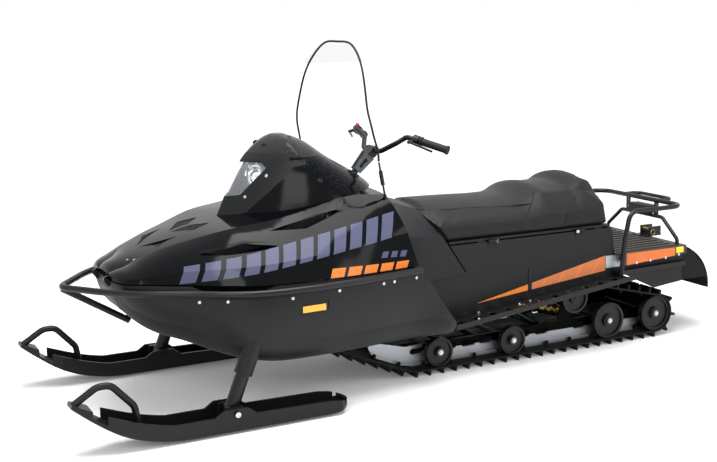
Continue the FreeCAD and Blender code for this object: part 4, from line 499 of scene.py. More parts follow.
NODE_FINISH = {
    "hood": HOOD_ABS, "dash_cowl": POD_ABS, "headlight_bezel": COVER_ABS, "headlight": LENS_PC,
    "windshield": SHIELD_PC, "windshield_trim": GRIP_RUBBER, "windshield_stays": POWDER,
    "hull": PAN_PE, "console": PAN_PE, "seat_base": PAN_PE, "seat_pan": COVER_ABS,
    "seat_cushion": LEATHERCLOTH, "seat_hinges": COVER_ABS, "tunnel": TUNNEL_PAINT,
    "running_board_left": POWDER, "running_board_right": POWDER,
    "cargo_deck": DECK_PAINT, "snow_flap": TRACK_RUBBER, "bumper": POWDER, "hood_hinges": POWDER,
    "engine": CAST_ALLOY, "steering_column": POWDER, "handlebar": POWDER, "bar_clamp": CLAMP_ALLOY,
    "grips": GRIP_RUBBER, "controls": COVER_ABS, "track": TRACK_RUBBER, "bogie_wheels": WHEEL_PU,
    "rear_wheels": WHEEL_PU, "return_rollers": WHEEL_PU, "drive_axle": WHEEL_PU, "slide_rails": RAIL_ALLOY,
    "suspension_arms": POWDER, "shocks": ZINC, "ski_left": COVER_ABS, "ski_right": COVER_ABS,
    "spindle_left": POWDER, "spindle_right": POWDER, "strut_sleeves": COVER_ABS, "rear_rack": POWDER,
    "lamp_housing": COVER_ABS, "tail_lamp": RED, "hitch": HITCH_STEEL, "side_reflectors": AMBER,
    "bed_reflectors": YELLOW,
}


@dataclass
class Paintbox:
    """Makes each finish once and gives it to pieces."""

    made: dict[str, bpy.types.Material] = field(default_factory=dict)

    def of(self, finish: Finish) -> bpy.types.Material:
        """The material of a finish, made when it is first asked for."""
        if finish.name not in self.made:
            self.made[finish.name] = finish.make()
        return self.made[finish.name]

    def dress(self, piece: bpy.types.Object, finish: Finish) -> None:
        """Puts one finish in every slot of a piece.

        Args:
            piece: a new piece or a node of the frame.
            finish: what it is made of.
        """
        material = self.of(finish)
        if not piece.data.materials:
            piece.data.materials.append(material)
        for slot in range(len(piece.data.materials)):
            piece.data.materials[slot] = material

    def dress_frame(self) -> None:
        """Gives every node of the frame its finish."""
        for name, node in frame["nodes"].items():
            self.dress(node, NODE_FINISH[name])


class Bench:
    """The modelling tools, used on one piece at a time."""

    @staticmethod
    def clear() -> None:
        """Leaves edit mode and deselects everything."""
        if bpy.context.object and bpy.context.object.mode != "OBJECT":
            bpy.ops.object.mode_set(mode="OBJECT")
        bpy.ops.object.select_all(action="DESELECT")

    @staticmethod
    def only(piece: bpy.types.Object) -> None:
        """Selects one piece alone and makes it active."""
        Bench.clear()
        piece.select_set(True)
        bpy.context.view_layer.objects.active = piece

    @staticmethod
    def label(piece: bpy.types.Object, name: str) -> bpy.types.Object:
        """Names a piece and its mesh, and gives the piece back."""
        piece.name = piece.data.name = name
        return piece

    @staticmethod
    def start(add: Callable, name: str, **settings: object) -> bpy.types.Object:
        """Adds a primitive with nothing else selected.

        Args:
            add: the operator that adds it.
            name: the new piece's name.
            settings: size and place for the operator.

        Returns:
            The new piece.
        """
        Bench.clear()
        add(**settings)
        return Bench.label(bpy.context.active_object, name)

    @staticmethod
    def edit(piece: bpy.types.Object, test: Callable[[Vector, Vector], bool] | None = None) -> None:
        """Opens a piece for editing with some of its faces selected.

        Args:
            piece: the piece to open.
            test: takes a face's centre and normal; all faces are selected without it.
        """
        Bench.only(piece)
        bpy.ops.object.mode_set(mode="EDIT")
        bpy.ops.mesh.select_mode(type="FACE")
        bpy.ops.mesh.select_all(action="SELECT" if test is None else "DESELECT")
        if test is not None:
            bpy.ops.object.mode_set(mode="OBJECT")
            for face in piece.data.polygons:
                face.select = test(face.center, face.normal)
            bpy.ops.object.mode_set(mode="EDIT")

    @staticmethod
    def blank(name: str, sides: int, radius: float, high: float, foot: float = 0.0) -> bpy.types.Object:
        """Turns a round or six-sided blank that stands along +Z, and opens its end face for editing.

        Args:
            name: the new piece's name.
            sides: how many sides its rim has.
            radius: its radius over the corners.
            high: its height.
            foot: where it starts along Z.

        Returns:
            The blank, open for editing.
        """
        piece = Bench.start(bpy.ops.mesh.primitive_cylinder_add, name, vertices=sides, radius=radius,
                            depth=high, location=(0, 0, foot + high / 2))
        Bench.edit(piece, lambda centre, normal: normal.z > SQUARE_ON)
        return piece

    @staticmethod
    def extrude(up: float) -> None:
        """Extrudes the selected faces along Z."""
        bpy.ops.mesh.extrude_region_move(TRANSFORM_OT_translate={"value": (0, 0, up)})

    @staticmethod
    def close() -> None:
        """Ends editing."""
        bpy.ops.object.mode_set(mode="OBJECT")

    @staticmethod
    def modify(piece: bpy.types.Object, kind: str, **settings: object) -> None:
        """Adds one modifier and applies it.

        Args:
            piece: the piece to change.
            kind: the modifier's type.
            settings: its properties.
        """
        Bench.only(piece)
        modifier = piece.modifiers.new(kind.lower(), kind)
        for key, value in settings.items():
            setattr(modifier, key, value)
        bpy.ops.object.modifier_apply(modifier=modifier.name)

    @staticmethod
    def settle(piece: bpy.types.Object, smooth_deg: float = 40.0) -> bpy.types.Object:
        """Writes a piece's place into its mesh and smooths its shading.

        Args:
            piece: the piece, in place.
            smooth_deg: edges flatter than this are shaded smooth.

        Returns:
            The same piece, at the origin.
        """
        Bench.only(piece)
        bpy.ops.object.transform_apply(location=True, rotation=True, scale=True)
        bpy.ops.object.shade_smooth_by_angle(angle=math.radians(smooth_deg))
        return piece

    @staticmethod
    def repeat(master: bpy.types.Object, places: Iterable[Matrix], name: str) -> bpy.types.Object:
        """Copies a piece to each place and joins the copies.

        Args:
            master: the piece modelled at the origin; it is removed.
            places: where the copies go.
            name: the joined piece's name.

        Returns:
            The joined piece, at the origin.
        """
        copies = []
        for place in places:
            copy = master.copy()
            copy.data = master.data.copy()
            bpy.context.scene.collection.objects.link(copy)
            copy.matrix_world = place
            copies.append(copy)
        Bench.only(copies[0])
        for copy in copies:
            copy.select_set(True)
        bpy.ops.object.join()
        joined = Bench.label(bpy.context.active_object, name)
        bpy.data.objects.remove(master)
        return Bench.settle(joined)

    @staticmethod
    def facing(point: Vector, way: Vector) -> Matrix:
        """Place at a point whose own +Z looks along a direction."""
        return Matrix.Translation(point) @ way.to_track_quat("Z", "Y").to_matrix().to_4x4()

    @staticmethod
    def surface(piece: bpy.types.Object, point: Vector, lift: float = 0.0) -> tuple[Vector, Vector]:
        """Nearest place on a piece's surface.

        Args:
            piece: a node of the frame or a new piece, at the origin.
            point: a place near its surface.
            lift: how far off the surface the result stands.

        Returns:
            The place and the surface's outward normal.
        """
        _, hit, normal, _ = piece.closest_point_on_mesh(point)
        return hit + normal * lift, normal

    @staticmethod
    def tube(points: list[Vector], radius: float, name: str) -> bpy.types.Object:
        """Round bar along a smooth line, as a mesh.

        Args:
            points: places that the line passes.
            radius: the bar's radius.
            name: the piece's name.

        Returns:
            The new piece.
        """
        curve = bpy.data.curves.new(name, "CURVE")
        curve.dimensions = "3D"
        curve.bevel_depth = radius
        curve.bevel_resolution = 3
        curve.resolution_u = 6
        curve.use_fill_caps = True
        spline = curve.splines.new("BEZIER")
        spline.bezier_points.add(len(points) - 1)
        for knot, point in zip(spline.bezier_points, points):
            knot.co = point
            knot.handle_left_type = knot.handle_right_type = "AUTO"
        piece = bpy.data.objects.new(name, curve)
        bpy.context.scene.collection.objects.link(piece)
        Bench.only(piece)
        bpy.ops.object.convert(target="MESH")
        return Bench.settle(bpy.context.active_object)


@dataclass
class SeatCover:
    """Stuffed leathercloth seat with its welts; their points are on the left side."""

    merge: float = 0.0002
    voxel: float = 0.006
    take_in: float = 0.002
    pressure: float = 4.0
    quality: int = 4
    frames: int = 20
    reach: float = 0.010
    ease: float = 0.5
    eased_before: int = 3
    eased_after: int = 8
    welt: float = 0.0022
    welt_sunk: float = 0.0008
    rear_split: tuple[Place, ...] = ((0.144, 0.612, 0.740), (0.181, 0.583, 0.718), (0.203, 0.559, 0.692),
                                     (0.261, 0.483, 0.641), (0.270, 0.444, 0.587))
    back_split: tuple[Place, ...] = ((0.198, 0.815, 0.731), (0.224, 0.777, 0.692), (0.270, 0.721, 0.648),
                                     (0.270, 0.696, 0.588))
    side_split: tuple[Place, ...] = ((0.099, -0.001, 0.719), (0.160, 0.057, 0.703), (0.178, 0.244, 0.694),
                                     (0.183, 0.417, 0.686), (0.203, 0.559, 0.692))

    def shell(self) -> bpy.types.Object:
        """Copies the seat's solid as a closed, even mesh, a little smaller than the solid.

        Returns:
            The mesh that the cloth starts from.
        """
        piece = frame["nodes"]["seat_cushion"].copy()
        piece.data = piece.data.copy()
        piece.name = "seat_cover"
        piece.parent = None
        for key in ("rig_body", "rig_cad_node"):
            del piece[key]
        bpy.context.scene.collection.objects.link(piece)
        piece.hide_render = False
        Bench.edit(piece)
        bpy.ops.mesh.remove_doubles(threshold=self.merge)
        bpy.ops.mesh.normals_make_consistent(inside=False)
        Bench.close()
        Bench.modify(piece, "REMESH", mode="VOXEL", voxel_size=self.voxel)
        Bench.modify(piece, "DISPLACE", strength=-self.take_in, mid_level=0.0)
        Bench.modify(piece, "SMOOTH", factor=self.ease, iterations=self.eased_before)
        return piece

    def stuff(self, piece: bpy.types.Object) -> None:
        """Swells the cover with cloth under pressure and limits how far it goes.

        Args:
            piece: the closed cover mesh.
        """
        rest = [vertex.co.copy() for vertex in piece.data.vertices]
        Bench.only(piece)
        cloth = piece.modifiers.new("cloth", "CLOTH")
        cloth.settings.quality = self.quality
        cloth.settings.use_pressure = True
        cloth.settings.uniform_pressure_force = self.pressure
        cloth.settings.effector_weights.gravity = 0.0
        cloth.point_cache.frame_start = 1
        cloth.point_cache.frame_end = self.frames
        scene = bpy.context.scene
        for step in range(1, self.frames + 1):
            scene.frame_set(step)
        Bench.only(piece)
        bpy.ops.object.modifier_apply(modifier=cloth.name)
        scene.frame_set(1)
        for vertex, start in zip(piece.data.vertices, rest):
            moved = vertex.co - start
            if moved.length > self.reach:
                vertex.co = start + moved * (self.reach / moved.length)
        Bench.modify(piece, "SMOOTH", factor=self.ease, iterations=self.eased_after)

    def welts(self, cover: bpy.types.Object) -> list[bpy.types.Object]:
        """Lays the welts on the finished cover.

        Args:
            cover: the stuffed cover.

        Returns:
            The welts.
        """
        found = []
        for name, line in (("split", self.rear_split), ("back", self.back_split), ("side", self.side_split)):
            for side, hand in SIDES:
                points = [Bench.surface(cover, on_side(place, side), -self.welt_sunk)[0] for place in line]
                found.append(Bench.tube(points, self.welt, "welt_%s_%s" % (name, hand)))
        return found

    def build(self, paints: Paintbox) -> None:
        """Makes the cover and its welts.

        Args:
            paints: gives the finishes.
        """
        cover = self.shell()
        self.stuff(cover)
        Bench.modify(cover, "SUBSURF", levels=1, render_levels=1)
        Bench.settle(cover, ROUND_DEG)
        paints.dress(cover, LEATHERCLOTH)
        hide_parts("seat_cushion")
        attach(cover, "seat")
        for welt in self.welts(cover):
            paints.dress(welt, WELT)
            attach(welt, "seat")
        log.info("seat cover with %d faces", len(cover.data.polygons))


@dataclass
class Fasteners:
    """Screws and bolts, set on the surface of the panel that they hold.

    The heads of one side alone look straight out, and their foot stands off the surface. The rim, dome and
    socket are shares of a head's radius or height.
    """

    head: float = 0.0062
    nose_head: float = 0.005
    leaf_head: float = 0.0065
    board_head: float = 0.007
    ski_head: float = 0.011
    high: float = 0.0036
    recess: float = 0.0016
    rim: float = 0.22
    dome: float = 0.22
    socket: float = 0.33
    sunk: float = 0.0004
    stand_off: float = 0.0015
    hull: tuple[Place, ...] = ((0.382, -1.045, 0.484), (0.451, -0.958, 0.490), (0.509, -0.723, 0.486),
                               (0.500, -0.525, 0.490), (0.473, -0.320, 0.488), (0.463, -0.268, 0.488),
                               (0.443, -0.157, 0.487))
    bed: tuple[Place, ...] = ((0.292, 1.085, 0.385), (0.292, 1.165, 0.388), (0.292, 1.255, 0.391),
                              (0.292, 1.334, 0.398))
    bezel: tuple[Place, ...] = ((0.150, -0.682, 0.909), (0.100, -0.760, 0.8245))
    nose: tuple[Place, ...] = ((0.075, -1.227, 0.611), (0.113, -1.211, 0.616))
    leaves: tuple[Place, ...] = ((0.282, 0.468, 0.562), (0.282, 0.496, 0.562), (0.282, 0.716, 0.562),
                                 (0.282, 0.757, 0.562))
    boards: tuple[Place, ...] = ((0.268, 0.242, 0.250), (0.297, 0.433, 0.271), (0.298, 0.489, 0.277))
    ski: tuple[Place, ...] = ((0.600, -0.965, 0.078),)

    def model(self, radius: float, name: str) -> bpy.types.Object:
        """Models one domed head with a socket in it.

        Args:
            radius: the head's radius.
            name: the piece's name.

        Returns:
            The head, its foot at the origin.
        """
        piece = Bench.blank(name, 16, radius, self.high)
        bpy.ops.mesh.inset(thickness=radius * self.rim)
        bpy.ops.transform.translate(value=(0, 0, self.high * self.dome))
        bpy.ops.mesh.inset(thickness=radius * self.socket)
        Bench.extrude(-self.recess)
        Bench.close()
        return piece

    def row(self, node: str, points: Iterable[Place], name: str, radius: float,
            sides: tuple[int, ...]) -> bpy.types.Object:
        """Sets heads at places on a node and at the mirrored places.

        Args:
            node: the node that the heads stand on.
            points: places on the left side.
            name: the piece's name.
            radius: the head's radius.
            sides: 1 for the left side, -1 for the right.

        Returns:
            The heads as one piece.
        """
        places = []
        for point in points:
            for side in sides:
                hit, normal = Bench.surface(frame["nodes"][node], on_side(point, side), -self.sunk)
                if len(sides) == 1:
                    normal = Vector((side, 0, 0))
                    hit = hit + normal * self.stand_off
                places.append(Bench.facing(hit, normal))
        return Bench.repeat(self.model(radius, name + "_master"), places, name)

    def build(self, paints: Paintbox) -> None:
        """Makes all rows of heads.

        Args:
            paints: gives the finishes.
        """
        for node, points, name, body, radius, sides in (
            ("hull", self.hull, "hull_screws", "chassis", self.head, (1, -1)),
            ("cargo_deck", self.bed, "bed_screws", "chassis", self.head, (1, -1)),
            ("headlight_bezel", self.bezel, "bezel_screws", "hood", self.head, (1, -1)),
            ("hood", self.nose, "nose_screws", "hood", self.nose_head, (1, -1)),
            ("seat_hinges", self.leaves, "hinge_screws", "chassis", self.leaf_head, (1,)),
            ("running_board_left", self.boards, "board_bolts_left", "chassis", self.board_head, (1,)),
            ("running_board_right", self.boards, "board_bolts_right", "chassis", self.board_head, (-1,)),
            ("ski_left", self.ski, "ski_bolt_left", "ski_left", self.ski_head, (1,)),
            ("ski_right", self.ski, "ski_bolt_right", "ski_right", self.ski_head, (-1,)),
        ):
            piece = self.row(node, points, name, radius, sides)
            paints.dress(piece, STAINLESS)
            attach(piece, body)
            log.info("%s set on %s", name, node)


@dataclass
class Hubs:
    """Nut, washer and bearing seal at the end of each wheel axle; wheels gives each axle's y and z."""

    outside: float = 0.2503
    wheels: tuple[tuple[float, float], ...] = ((0.064, 0.0943), (0.439, 0.0943), (0.970, 0.1143),
                                               (1.2436, 0.1143))
    seal: float = 0.0155
    seal_lip: float = 0.0028
    seal_flat: float = 0.6
    washer: float = 0.0125
    washer_high: float = 0.003
    washer_edge: float = 0.0015
    washer_rise: float = 0.0008
    nut: float = 0.0095
    nut_high: float = 0.007
    nut_edge: float = 0.0035
    stub: float = 0.0025

    def places(self) -> list[Matrix]:
        """Where the hubs stand: both sides of each wheel."""
        return [Bench.facing(on_side((self.outside, along, up), side), Vector((side, 0, 0)))
                for along, up in self.wheels for side, _ in SIDES]

    def masters(self) -> Iterator[tuple[bpy.types.Object, str, Finish]]:
        """Models one seal, one washer and one nut with the axle's stub in it.

        Returns:
            Each with the name and the finish of its row.
        """
        seal = Bench.start(bpy.ops.mesh.primitive_torus_add, "seal_master", major_radius=self.seal,
                           minor_radius=self.seal_lip, major_segments=24, minor_segments=8)
        Bench.edit(seal)
        bpy.ops.transform.resize(value=(1, 1, self.seal_flat))
        Bench.close()
        yield seal, "hub_seals", BLUE_RING
        washer = Bench.blank("washer_master", 24, self.washer, self.washer_high)
        bpy.ops.mesh.inset(thickness=self.washer_edge)
        bpy.ops.transform.translate(value=(0, 0, self.washer_rise))
        Bench.close()
        yield washer, "hub_washers", ZINC
        nut = Bench.blank("nut_master", 6, self.nut, self.nut_high, self.washer_high)
        bpy.ops.mesh.inset(thickness=self.nut_edge)
        Bench.extrude(self.stub)
        Bench.close()
        yield nut, "hub_nuts", STAINLESS

    def build(self, paints: Paintbox) -> None:
        """Makes nuts, washers and seals.

        Args:
            paints: gives the finishes.
        """
        for master, name, finish in self.masters():
            piece = Bench.repeat(master, self.places(), name)
            paints.dress(piece, finish)
            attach(piece, "chassis")
            log.info("%s on %d axles", name, len(self.wheels))


@dataclass
class Lamp:
    """What shows through the headlamp's lens: a bright tray, two bowls and their bulbs.

    The bulb's neck and taper are shares of its radius, and the bowl's depth and the bulb's place are shares
    of the bowl's radius.
    """

    wall: float = 0.0016
    tray_at: Place = (0.0, -0.668, 0.884)
    tray_size: Place = (0.112, 0.062, 0.060)
    bowl_at: Place = (0.050, -0.684, 0.892)
    bowl_way: Place = (0.30, -0.90, 0.16)
    bowl: float = 0.040
    bowl_depth: float = 0.8
    bulb: float = 0.0085
    bulb_back: float = 0.3
    neck_from: float = 0.55
    neck_taper: float = 0.8

    def dish(self, name: str, way: Vector, place: Vector, size: Place) -> bpy.types.Object:
        """Models an open dish with a wall.

        Args:
            name: the piece's name.
            way: where its mouth looks.
            place: middle of its mouth.
            size: half widths along its own axes; the last is its depth.

        Returns:
            The dish.
        """
        piece = Bench.start(bpy.ops.mesh.primitive_uv_sphere_add, name, segments=32, ring_count=16,
                            radius=1.0)
        Bench.edit(piece)
        bpy.ops.mesh.bisect(plane_co=(0, 0, 0), plane_no=(0, 0, 1), clear_outer=True)
        bpy.ops.mesh.select_all(action="SELECT")
        bpy.ops.transform.resize(value=size, center_override=(0, 0, 0))
        Bench.close()
        Bench.modify(piece, "SOLIDIFY", thickness=self.wall, offset=1.0)
        piece.matrix_world = Bench.facing(place, way)
        return Bench.settle(piece, ROUND_DEG)

    def light(self, name: str, way: Vector, place: Vector) -> bpy.types.Object:
        """Models one bulb with a tapered neck.

        Args:
            name: the piece's name.
            way: where its round end looks.
            place: its middle.

        Returns:
            The bulb.
        """
        piece = Bench.start(bpy.ops.mesh.primitive_uv_sphere_add, name, segments=20, ring_count=12,
                            radius=self.bulb)
        Bench.edit(piece, lambda centre, normal: centre.z < -self.bulb * self.neck_from)
        Bench.extrude(-self.bulb)
        bpy.ops.transform.resize(value=(self.neck_taper, self.neck_taper, 1.0))
        Bench.close()
        piece.matrix_world = Bench.facing(place, way)
        return Bench.settle(piece, ROUND_DEG)

    def build(self, paints: Paintbox) -> None:
        """Makes the tray, the bowls and the bulbs.

        Args:
            paints: gives the finishes.
        """
        pieces = [self.dish("lamp_tray", Vector((0, -1, 0)), Vector(self.tray_at), self.tray_size)]
        for side, hand in SIDES:
            way = on_side(self.bowl_way, side).normalized()
            mouth = on_side(self.bowl_at, side)
            size = (self.bowl, self.bowl, self.bowl * self.bowl_depth)
            pieces.append(self.dish("lamp_bowl_" + hand, way, mouth, size))
            pieces.append(self.light("lamp_bulb_" + hand, way, mouth - way * self.bowl * self.bulb_back))
        for piece in pieces:
            paints.dress(piece, LENS_PC if "bulb" in piece.name else MIRROR)
            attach(piece, "hood")
        log.info("headlamp with %d pieces inside", len(pieces))


@dataclass
class HoodFittings:
    """Wire behind the vents and rubber knobs on the lamp pod; each vent's corners run round it."""

    sunk: float = 0.012
    wire: float = 0.0011
    cuts: int = 13
    vents: tuple[tuple[Place, ...], ...] = (
        ((0.303, -1.012, 0.648), (0.359, -0.856, 0.682), (0.385, -0.742, 0.672), (0.372, -0.928, 0.649)),
        ((0.337, -0.736, 0.718), (0.338, -0.541, 0.759), (0.345, -0.448, 0.771), (0.377, -0.604, 0.721)),
        ((0.016, -1.158, 0.652), (0.106, -1.107, 0.664), (0.102, -1.037, 0.680), (0.078, -1.079, 0.676)),
        ((0.014, -1.026, 0.693), (0.105, -0.966, 0.704), (0.077, -0.896, 0.720), (0.014, -0.952, 0.712)),
    )
    knobs: tuple[Place, ...] = ((0.051, -0.638, 1.020), (0.161, -0.585, 0.988), (0.261, -0.490, 0.883))
    knob_radius: float = 0.011
    knob_high: float = 0.008
    knob_edge: float = 0.003
    knob_taper: float = 0.8
    knob_sunk: float = 0.0006

    def grille(self, corners: tuple[Place, ...], side: int, name: str) -> bpy.types.Object:
        """Models the wire behind one vent.

        Args:
            corners: the vent's corners on the left side.
            side: 1 for the left, -1 for the right.
            name: the piece's name.

        Returns:
            The wire mesh.
        """
        piece = Bench.start(bpy.ops.mesh.primitive_plane_add, name, size=1.0)
        first, second, third, fourth = [on_side(corner, side) for corner in corners]
        for vertex, corner in zip(piece.data.vertices, (first, second, fourth, third)):
            _, normal = Bench.surface(frame["nodes"]["hood"], corner)
            vertex.co = corner - normal * self.sunk
        Bench.edit(piece)
        bpy.ops.mesh.subdivide(number_cuts=self.cuts)
        Bench.close()
        Bench.modify(piece, "WIREFRAME", thickness=self.wire)
        return Bench.settle(piece)

    def knob(self) -> bpy.types.Object:
        """Models one rubber knob with a narrower tapered end.

        Returns:
            The knob, its foot at the origin.
        """
        piece = Bench.blank("pod_knobs_master", 20, self.knob_radius, self.knob_high)
        bpy.ops.mesh.inset(thickness=self.knob_edge)
        Bench.extrude(self.knob_edge)
        bpy.ops.transform.resize(value=(self.knob_taper, self.knob_taper, 1.0))
        Bench.close()
        return piece

    def build(self, paints: Paintbox) -> None:
        """Makes the wires and the knobs.

        Args:
            paints: gives the finishes.
        """
        for index, corners in enumerate(self.vents):
            for side, hand in SIDES:
                piece = self.grille(corners, side, "vent_wire_%d_%s" % (index + 1, hand))
                paints.dress(piece, VENT_WIRE)
                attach(piece, "hood")
        pod = frame["nodes"]["dash_cowl"]
        places = [Bench.facing(*Bench.surface(pod, on_side(knob, side), -self.knob_sunk))
                  for knob in self.knobs for side, _ in SIDES]
        knobs = Bench.repeat(self.knob(), places, "pod_knobs")
        paints.dress(knobs, GRIP_RUBBER)
        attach(knobs, "hood")
        log.info("%d vents backed with wire", 2 * len(self.vents))


@dataclass
class SideFittings:
    """Blank plate and upright ribs on the tunnel's sides, the hitch pin's ring and the switch's cap.

    The plate and the ribs are given by their ends along the machine and in height, and by how far their
    middle stands from the tunnel's face. Their rim is a share of their smaller side.
    """

    face: float = 0.265
    rim: float = 0.16
    sink: float = 0.7
    plate_along: tuple[float, float] = (0.927, 1.009)
    plate_up: tuple[float, float] = (0.371, 0.4285)
    plate_proud: float = 0.0006
    plate_thick: float = 0.0014
    plate_bevel: float = 0.0003
    rib_along: tuple[float, float] = (0.502, 0.511)
    rib_up: tuple[float, float] = (0.322, 0.411)
    rib_proud: float = 0.0015
    rib_thick: float = 0.0045
    rib_bevel: float = 0.0012
    ring_at: Place = (0.0455, 1.382, 0.4603)
    ring_way: Place = (1.0, 0.2, 0.0)
    ring: float = 0.013
    ring_wire: float = 0.0016
    ring_half: float = 0.004
    ring_pull: float = 0.003
    cap_at: Place = (-0.268, -0.060, 1.060)
    cap: float = 0.0085
    cap_high: float = 0.009
    cap_edge: float = 0.0018
    cap_rise: float = 0.0012
    cap_sunk: float = 0.001

    def slab(self, name: str, across: tuple[float, float], along: tuple[float, float],
             up: tuple[float, float], bevel: float) -> bpy.types.Object:
        """Models a small plate with rounded edges and a sunk middle.

        Args:
            name: the piece's name.
            across: its middle and its thickness.
            along: its front and rear ends.
            up: its lower and upper ends.
            bevel: the rounding of its edges.

        Returns:
            The plate.
        """
        long, high = along[1] - along[0], up[1] - up[0]
        piece = Bench.start(bpy.ops.mesh.primitive_cube_add, name, size=1.0)
        Bench.edit(piece)
        bpy.ops.transform.resize(value=(across[1], long, high))
        Bench.edit(piece, lambda centre, normal: abs(normal.x) > SQUARE_ON)
        bpy.ops.mesh.inset(thickness=min(long, high) * self.rim)
        bpy.ops.transform.resize(value=(self.sink, 1.0, 1.0))
        Bench.close()
        Bench.modify(piece, "BEVEL", width=bevel, segments=2, limit_method="ANGLE")
        piece.location = (across[0], sum(along) / 2, sum(up) / 2)
        return Bench.settle(piece)

    def pin_ring(self) -> bpy.types.Object:
        """Models the pull ring of the hitch pin, a little longer than round.

        Returns:
            The ring, in place.
        """
        ring = Bench.start(bpy.ops.mesh.primitive_torus_add, "hitch_pin_ring", major_radius=self.ring,
                           minor_radius=self.ring_wire, major_segments=28, minor_segments=8)
        Bench.edit(ring, lambda centre, normal: centre.x > self.ring_half)
        bpy.ops.transform.translate(value=(self.ring_pull, 0, 0))
        Bench.close()
        ring.matrix_world = Bench.facing(Vector(self.ring_at), Vector(self.ring_way))
        return Bench.settle(ring, ROUND_DEG)

    def switch_cap(self) -> bpy.types.Object:
        """Models the domed cap on the switch housing.

        Returns:
            The cap, in place.
        """
        cap = Bench.blank("stop_switch_cap", 20, self.cap, self.cap_high)
        bpy.ops.mesh.inset(thickness=self.cap_edge)
        bpy.ops.transform.translate(value=(0, 0, self.cap_rise))
        Bench.close()
        housing = frame["nodes"]["controls"]
        cap.matrix_world = Bench.facing(*Bench.surface(housing, Vector(self.cap_at), -self.cap_sunk))
        return Bench.settle(cap)

    def build(self, paints: Paintbox) -> None:
        """Makes the plate, the ribs, the ring and the cap.

        Args:
            paints: gives the finishes.
        """
        plate = self.slab("info_plate", (self.face + self.plate_proud, self.plate_thick), self.plate_along,
                          self.plate_up, self.plate_bevel)
        ribs = [self.slab("side_rib_" + hand, (side * (self.face + self.rib_proud), self.rib_thick),
                          self.rib_along, self.rib_up, self.rib_bevel) for side, hand in SIDES]
        ring = self.pin_ring()
        cap = self.switch_cap()
        for piece, finish in ((plate, PLATE), (ring, ZINC), *((rib, POWDER) for rib in ribs)):
            paints.dress(piece, finish)
            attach(piece, "chassis")
        paints.dress(cap, RED_CAP)
        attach(cap, "handlebar")
        log.info("side plate, ribs, ring and switch cap")


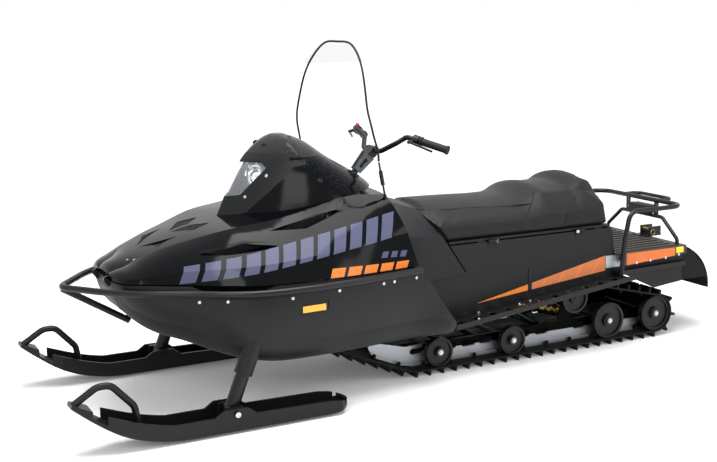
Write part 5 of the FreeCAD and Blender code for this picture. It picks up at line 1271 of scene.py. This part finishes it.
@dataclass
class Studio:
    """Camera at the photograph's angle, pale floor, soft light."""

    eye: Place = (4.53592, -2.40000, 1.53414)
    heading_deg: float = 62.39
    pitch_deg: float = 10.58
    roll_rad: float = -0.0136
    focal_px: float = 1190.46
    centre_px: tuple[float, float] = (393.46, 235.04)
    frame_px: tuple[int, int] = (717, 462)
    sensor_mm: float = 36.0
    sight: float = 200.0
    fill: float = 0.5
    floor_side: float = 60.0
    floor_roughness: float = 0.9
    glow: tuple[float, float] = (0.10, 0.95)
    glow_reach: tuple[float, float] = (2.6, 9.0)
    # Each lamp's name, place, aim, side and watts
    lamps: tuple[tuple[str, Place, Place, float, float], ...] = (
        ("overhead", (0.6, -0.3, 4.2), (0.0, 0.0, 0.4), 3.2, 270.0),
        ("front_left", (3.2, -3.4, 2.6), (0.2, -0.4, 0.5), 1.6, 50.0),
        ("rear_left", (3.4, 2.6, 2.2), (0.2, 0.6, 0.5), 1.8, 40.0),
    )

    def camera(self) -> None:
        """Sets the camera up."""
        turn, dip = math.radians(self.heading_deg), math.radians(self.pitch_deg)
        look = Vector((-math.sin(turn) * math.cos(dip), math.cos(turn) * math.cos(dip), -math.sin(dip)))
        level = Vector((math.cos(turn), math.sin(turn), 0))
        over = level.cross(look)
        right = math.cos(self.roll_rad) * level + math.sin(self.roll_rad) * over
        up = math.cos(self.roll_rad) * over - math.sin(self.roll_rad) * level
        data = bpy.data.cameras.new("photo_camera")
        camera = bpy.data.objects.new("photo_camera", data)
        bpy.context.scene.collection.objects.link(camera)
        camera.matrix_world = Matrix.Translation(self.eye) @ Matrix((right, up, -look)).transposed().to_4x4()
        wide, high = self.frame_px
        data.sensor_width = self.sensor_mm
        data.lens = self.sensor_mm * self.focal_px / wide
        data.shift_x = (wide / 2 - self.centre_px[0]) / wide
        data.shift_y = (self.centre_px[1] - high / 2) / wide
        data.clip_end = self.sight
        bpy.context.scene.camera = camera

    def seen(self, tree: bpy.types.NodeTree) -> bpy.types.NodeSocket:
        """Share of rays that see the plain white background: camera, mirror and glass rays.

        Args:
            tree: the floor's or world's node tree.

        Returns:
            A socket with one for such rays and nought for the rest.
        """
        rays = add_node(tree, "ShaderNodeLightPath")
        known = {"camera": rays.outputs["Is Camera Ray"], "glossy": rays.outputs["Is Glossy Ray"],
                 "through": rays.outputs["Is Transmission Ray"]}
        return work_out(tree, known, [("one", "MAXIMUM", "camera", "glossy"),
                                      ("all", "MAXIMUM", "one", "through")])["all"]

    def world(self) -> None:
        """Fills the world with plain soft light."""
        world = bpy.data.worlds.new("studio")
        bpy.context.scene.world = world
        world.use_nodes = True
        tree = world.node_tree
        fill = tree.nodes["Background"]
        fill.inputs["Color"].default_value = linear("#FFFFFF")
        fill.inputs["Strength"].default_value = self.fill
        white = add_node(tree, "ShaderNodeBackground", {"Color": linear("#FFFFFF"), "Strength": 1.0})
        mix = add_node(tree, "ShaderNodeMixShader",
                       links={0: self.seen(tree), 1: fill.outputs[0], 2: white.outputs[0]})
        tree.links.new(mix.outputs[0], tree.nodes["World Output"].inputs["Surface"])

    def floor(self) -> None:
        """Lays the floor, which is white to the camera where no shadow falls."""
        piece = Bench.start(bpy.ops.mesh.primitive_plane_add, "floor", size=self.floor_side)
        material = bpy.data.materials.new("white_studio_floor")
        material.use_nodes = True
        tree = material.node_tree
        shader = tree.nodes["Principled BSDF"]
        for socket, value in (("Base Color", linear("#FFFFFF")), ("Roughness", self.floor_roughness),
                              ("Specular IOR Level", 0.0), ("Emission Color", linear("#FFFFFF"))):
            shader.inputs[socket].default_value = value
        place = add_node(tree, "ShaderNodeTexCoord").outputs["Object"]
        away = add_node(tree, "ShaderNodeVectorMath", {"operation": "LENGTH"}, {0: place}).outputs["Value"]
        near, far = self.glow_reach
        least, most = self.glow
        rise = add_node(tree, "ShaderNodeMapRange",
                        {"From Min": near, "From Max": far, "To Min": least, "To Max": most}, {"Value": away})
        known = work_out(tree, {"seen": self.seen(tree), "rise": rise.outputs[0]},
                         [("glow", "MULTIPLY", "seen", "rise")])
        tree.links.new(known["glow"], shader.inputs["Emission Strength"])
        piece.data.materials.append(material)

    def lamp(self, name: str, place: Place, aim: Place, size: float, power: float) -> None:
        """Adds one soft square lamp.

        Args:
            name: the lamp's name.
            place: where it stands.
            aim: what it points at.
            size: its side.
            power: its power in watts.
        """
        data = bpy.data.lights.new(name, "AREA")
        data.shape = "SQUARE"
        data.size = size
        data.energy = power
        lamp = bpy.data.objects.new(name, data)
        bpy.context.scene.collection.objects.link(lamp)
        lamp.matrix_world = Bench.facing(Vector(place), Vector(place) - Vector(aim))

    def build(self) -> None:
        """Sets up the whole studio."""
        self.camera()
        self.world()
        self.floor()
        for settings in self.lamps:
            self.lamp(*settings)


def main() -> None:
    """Dresses the frame, adds the pieces and sets up the studio."""
    logging.basicConfig(level=logging.INFO, format="%(message)s")
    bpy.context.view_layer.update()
    bpy.context.scene.view_settings.view_transform = "Standard"
    paints = Paintbox()
    paints.dress_frame()
    for part in (SeatCover(), Fasteners(), Hubs(), Lamp(), HoodFittings(), SideFittings()):
        part.build(paints)
    Studio().build()


if __name__ == "__main__":
    main()
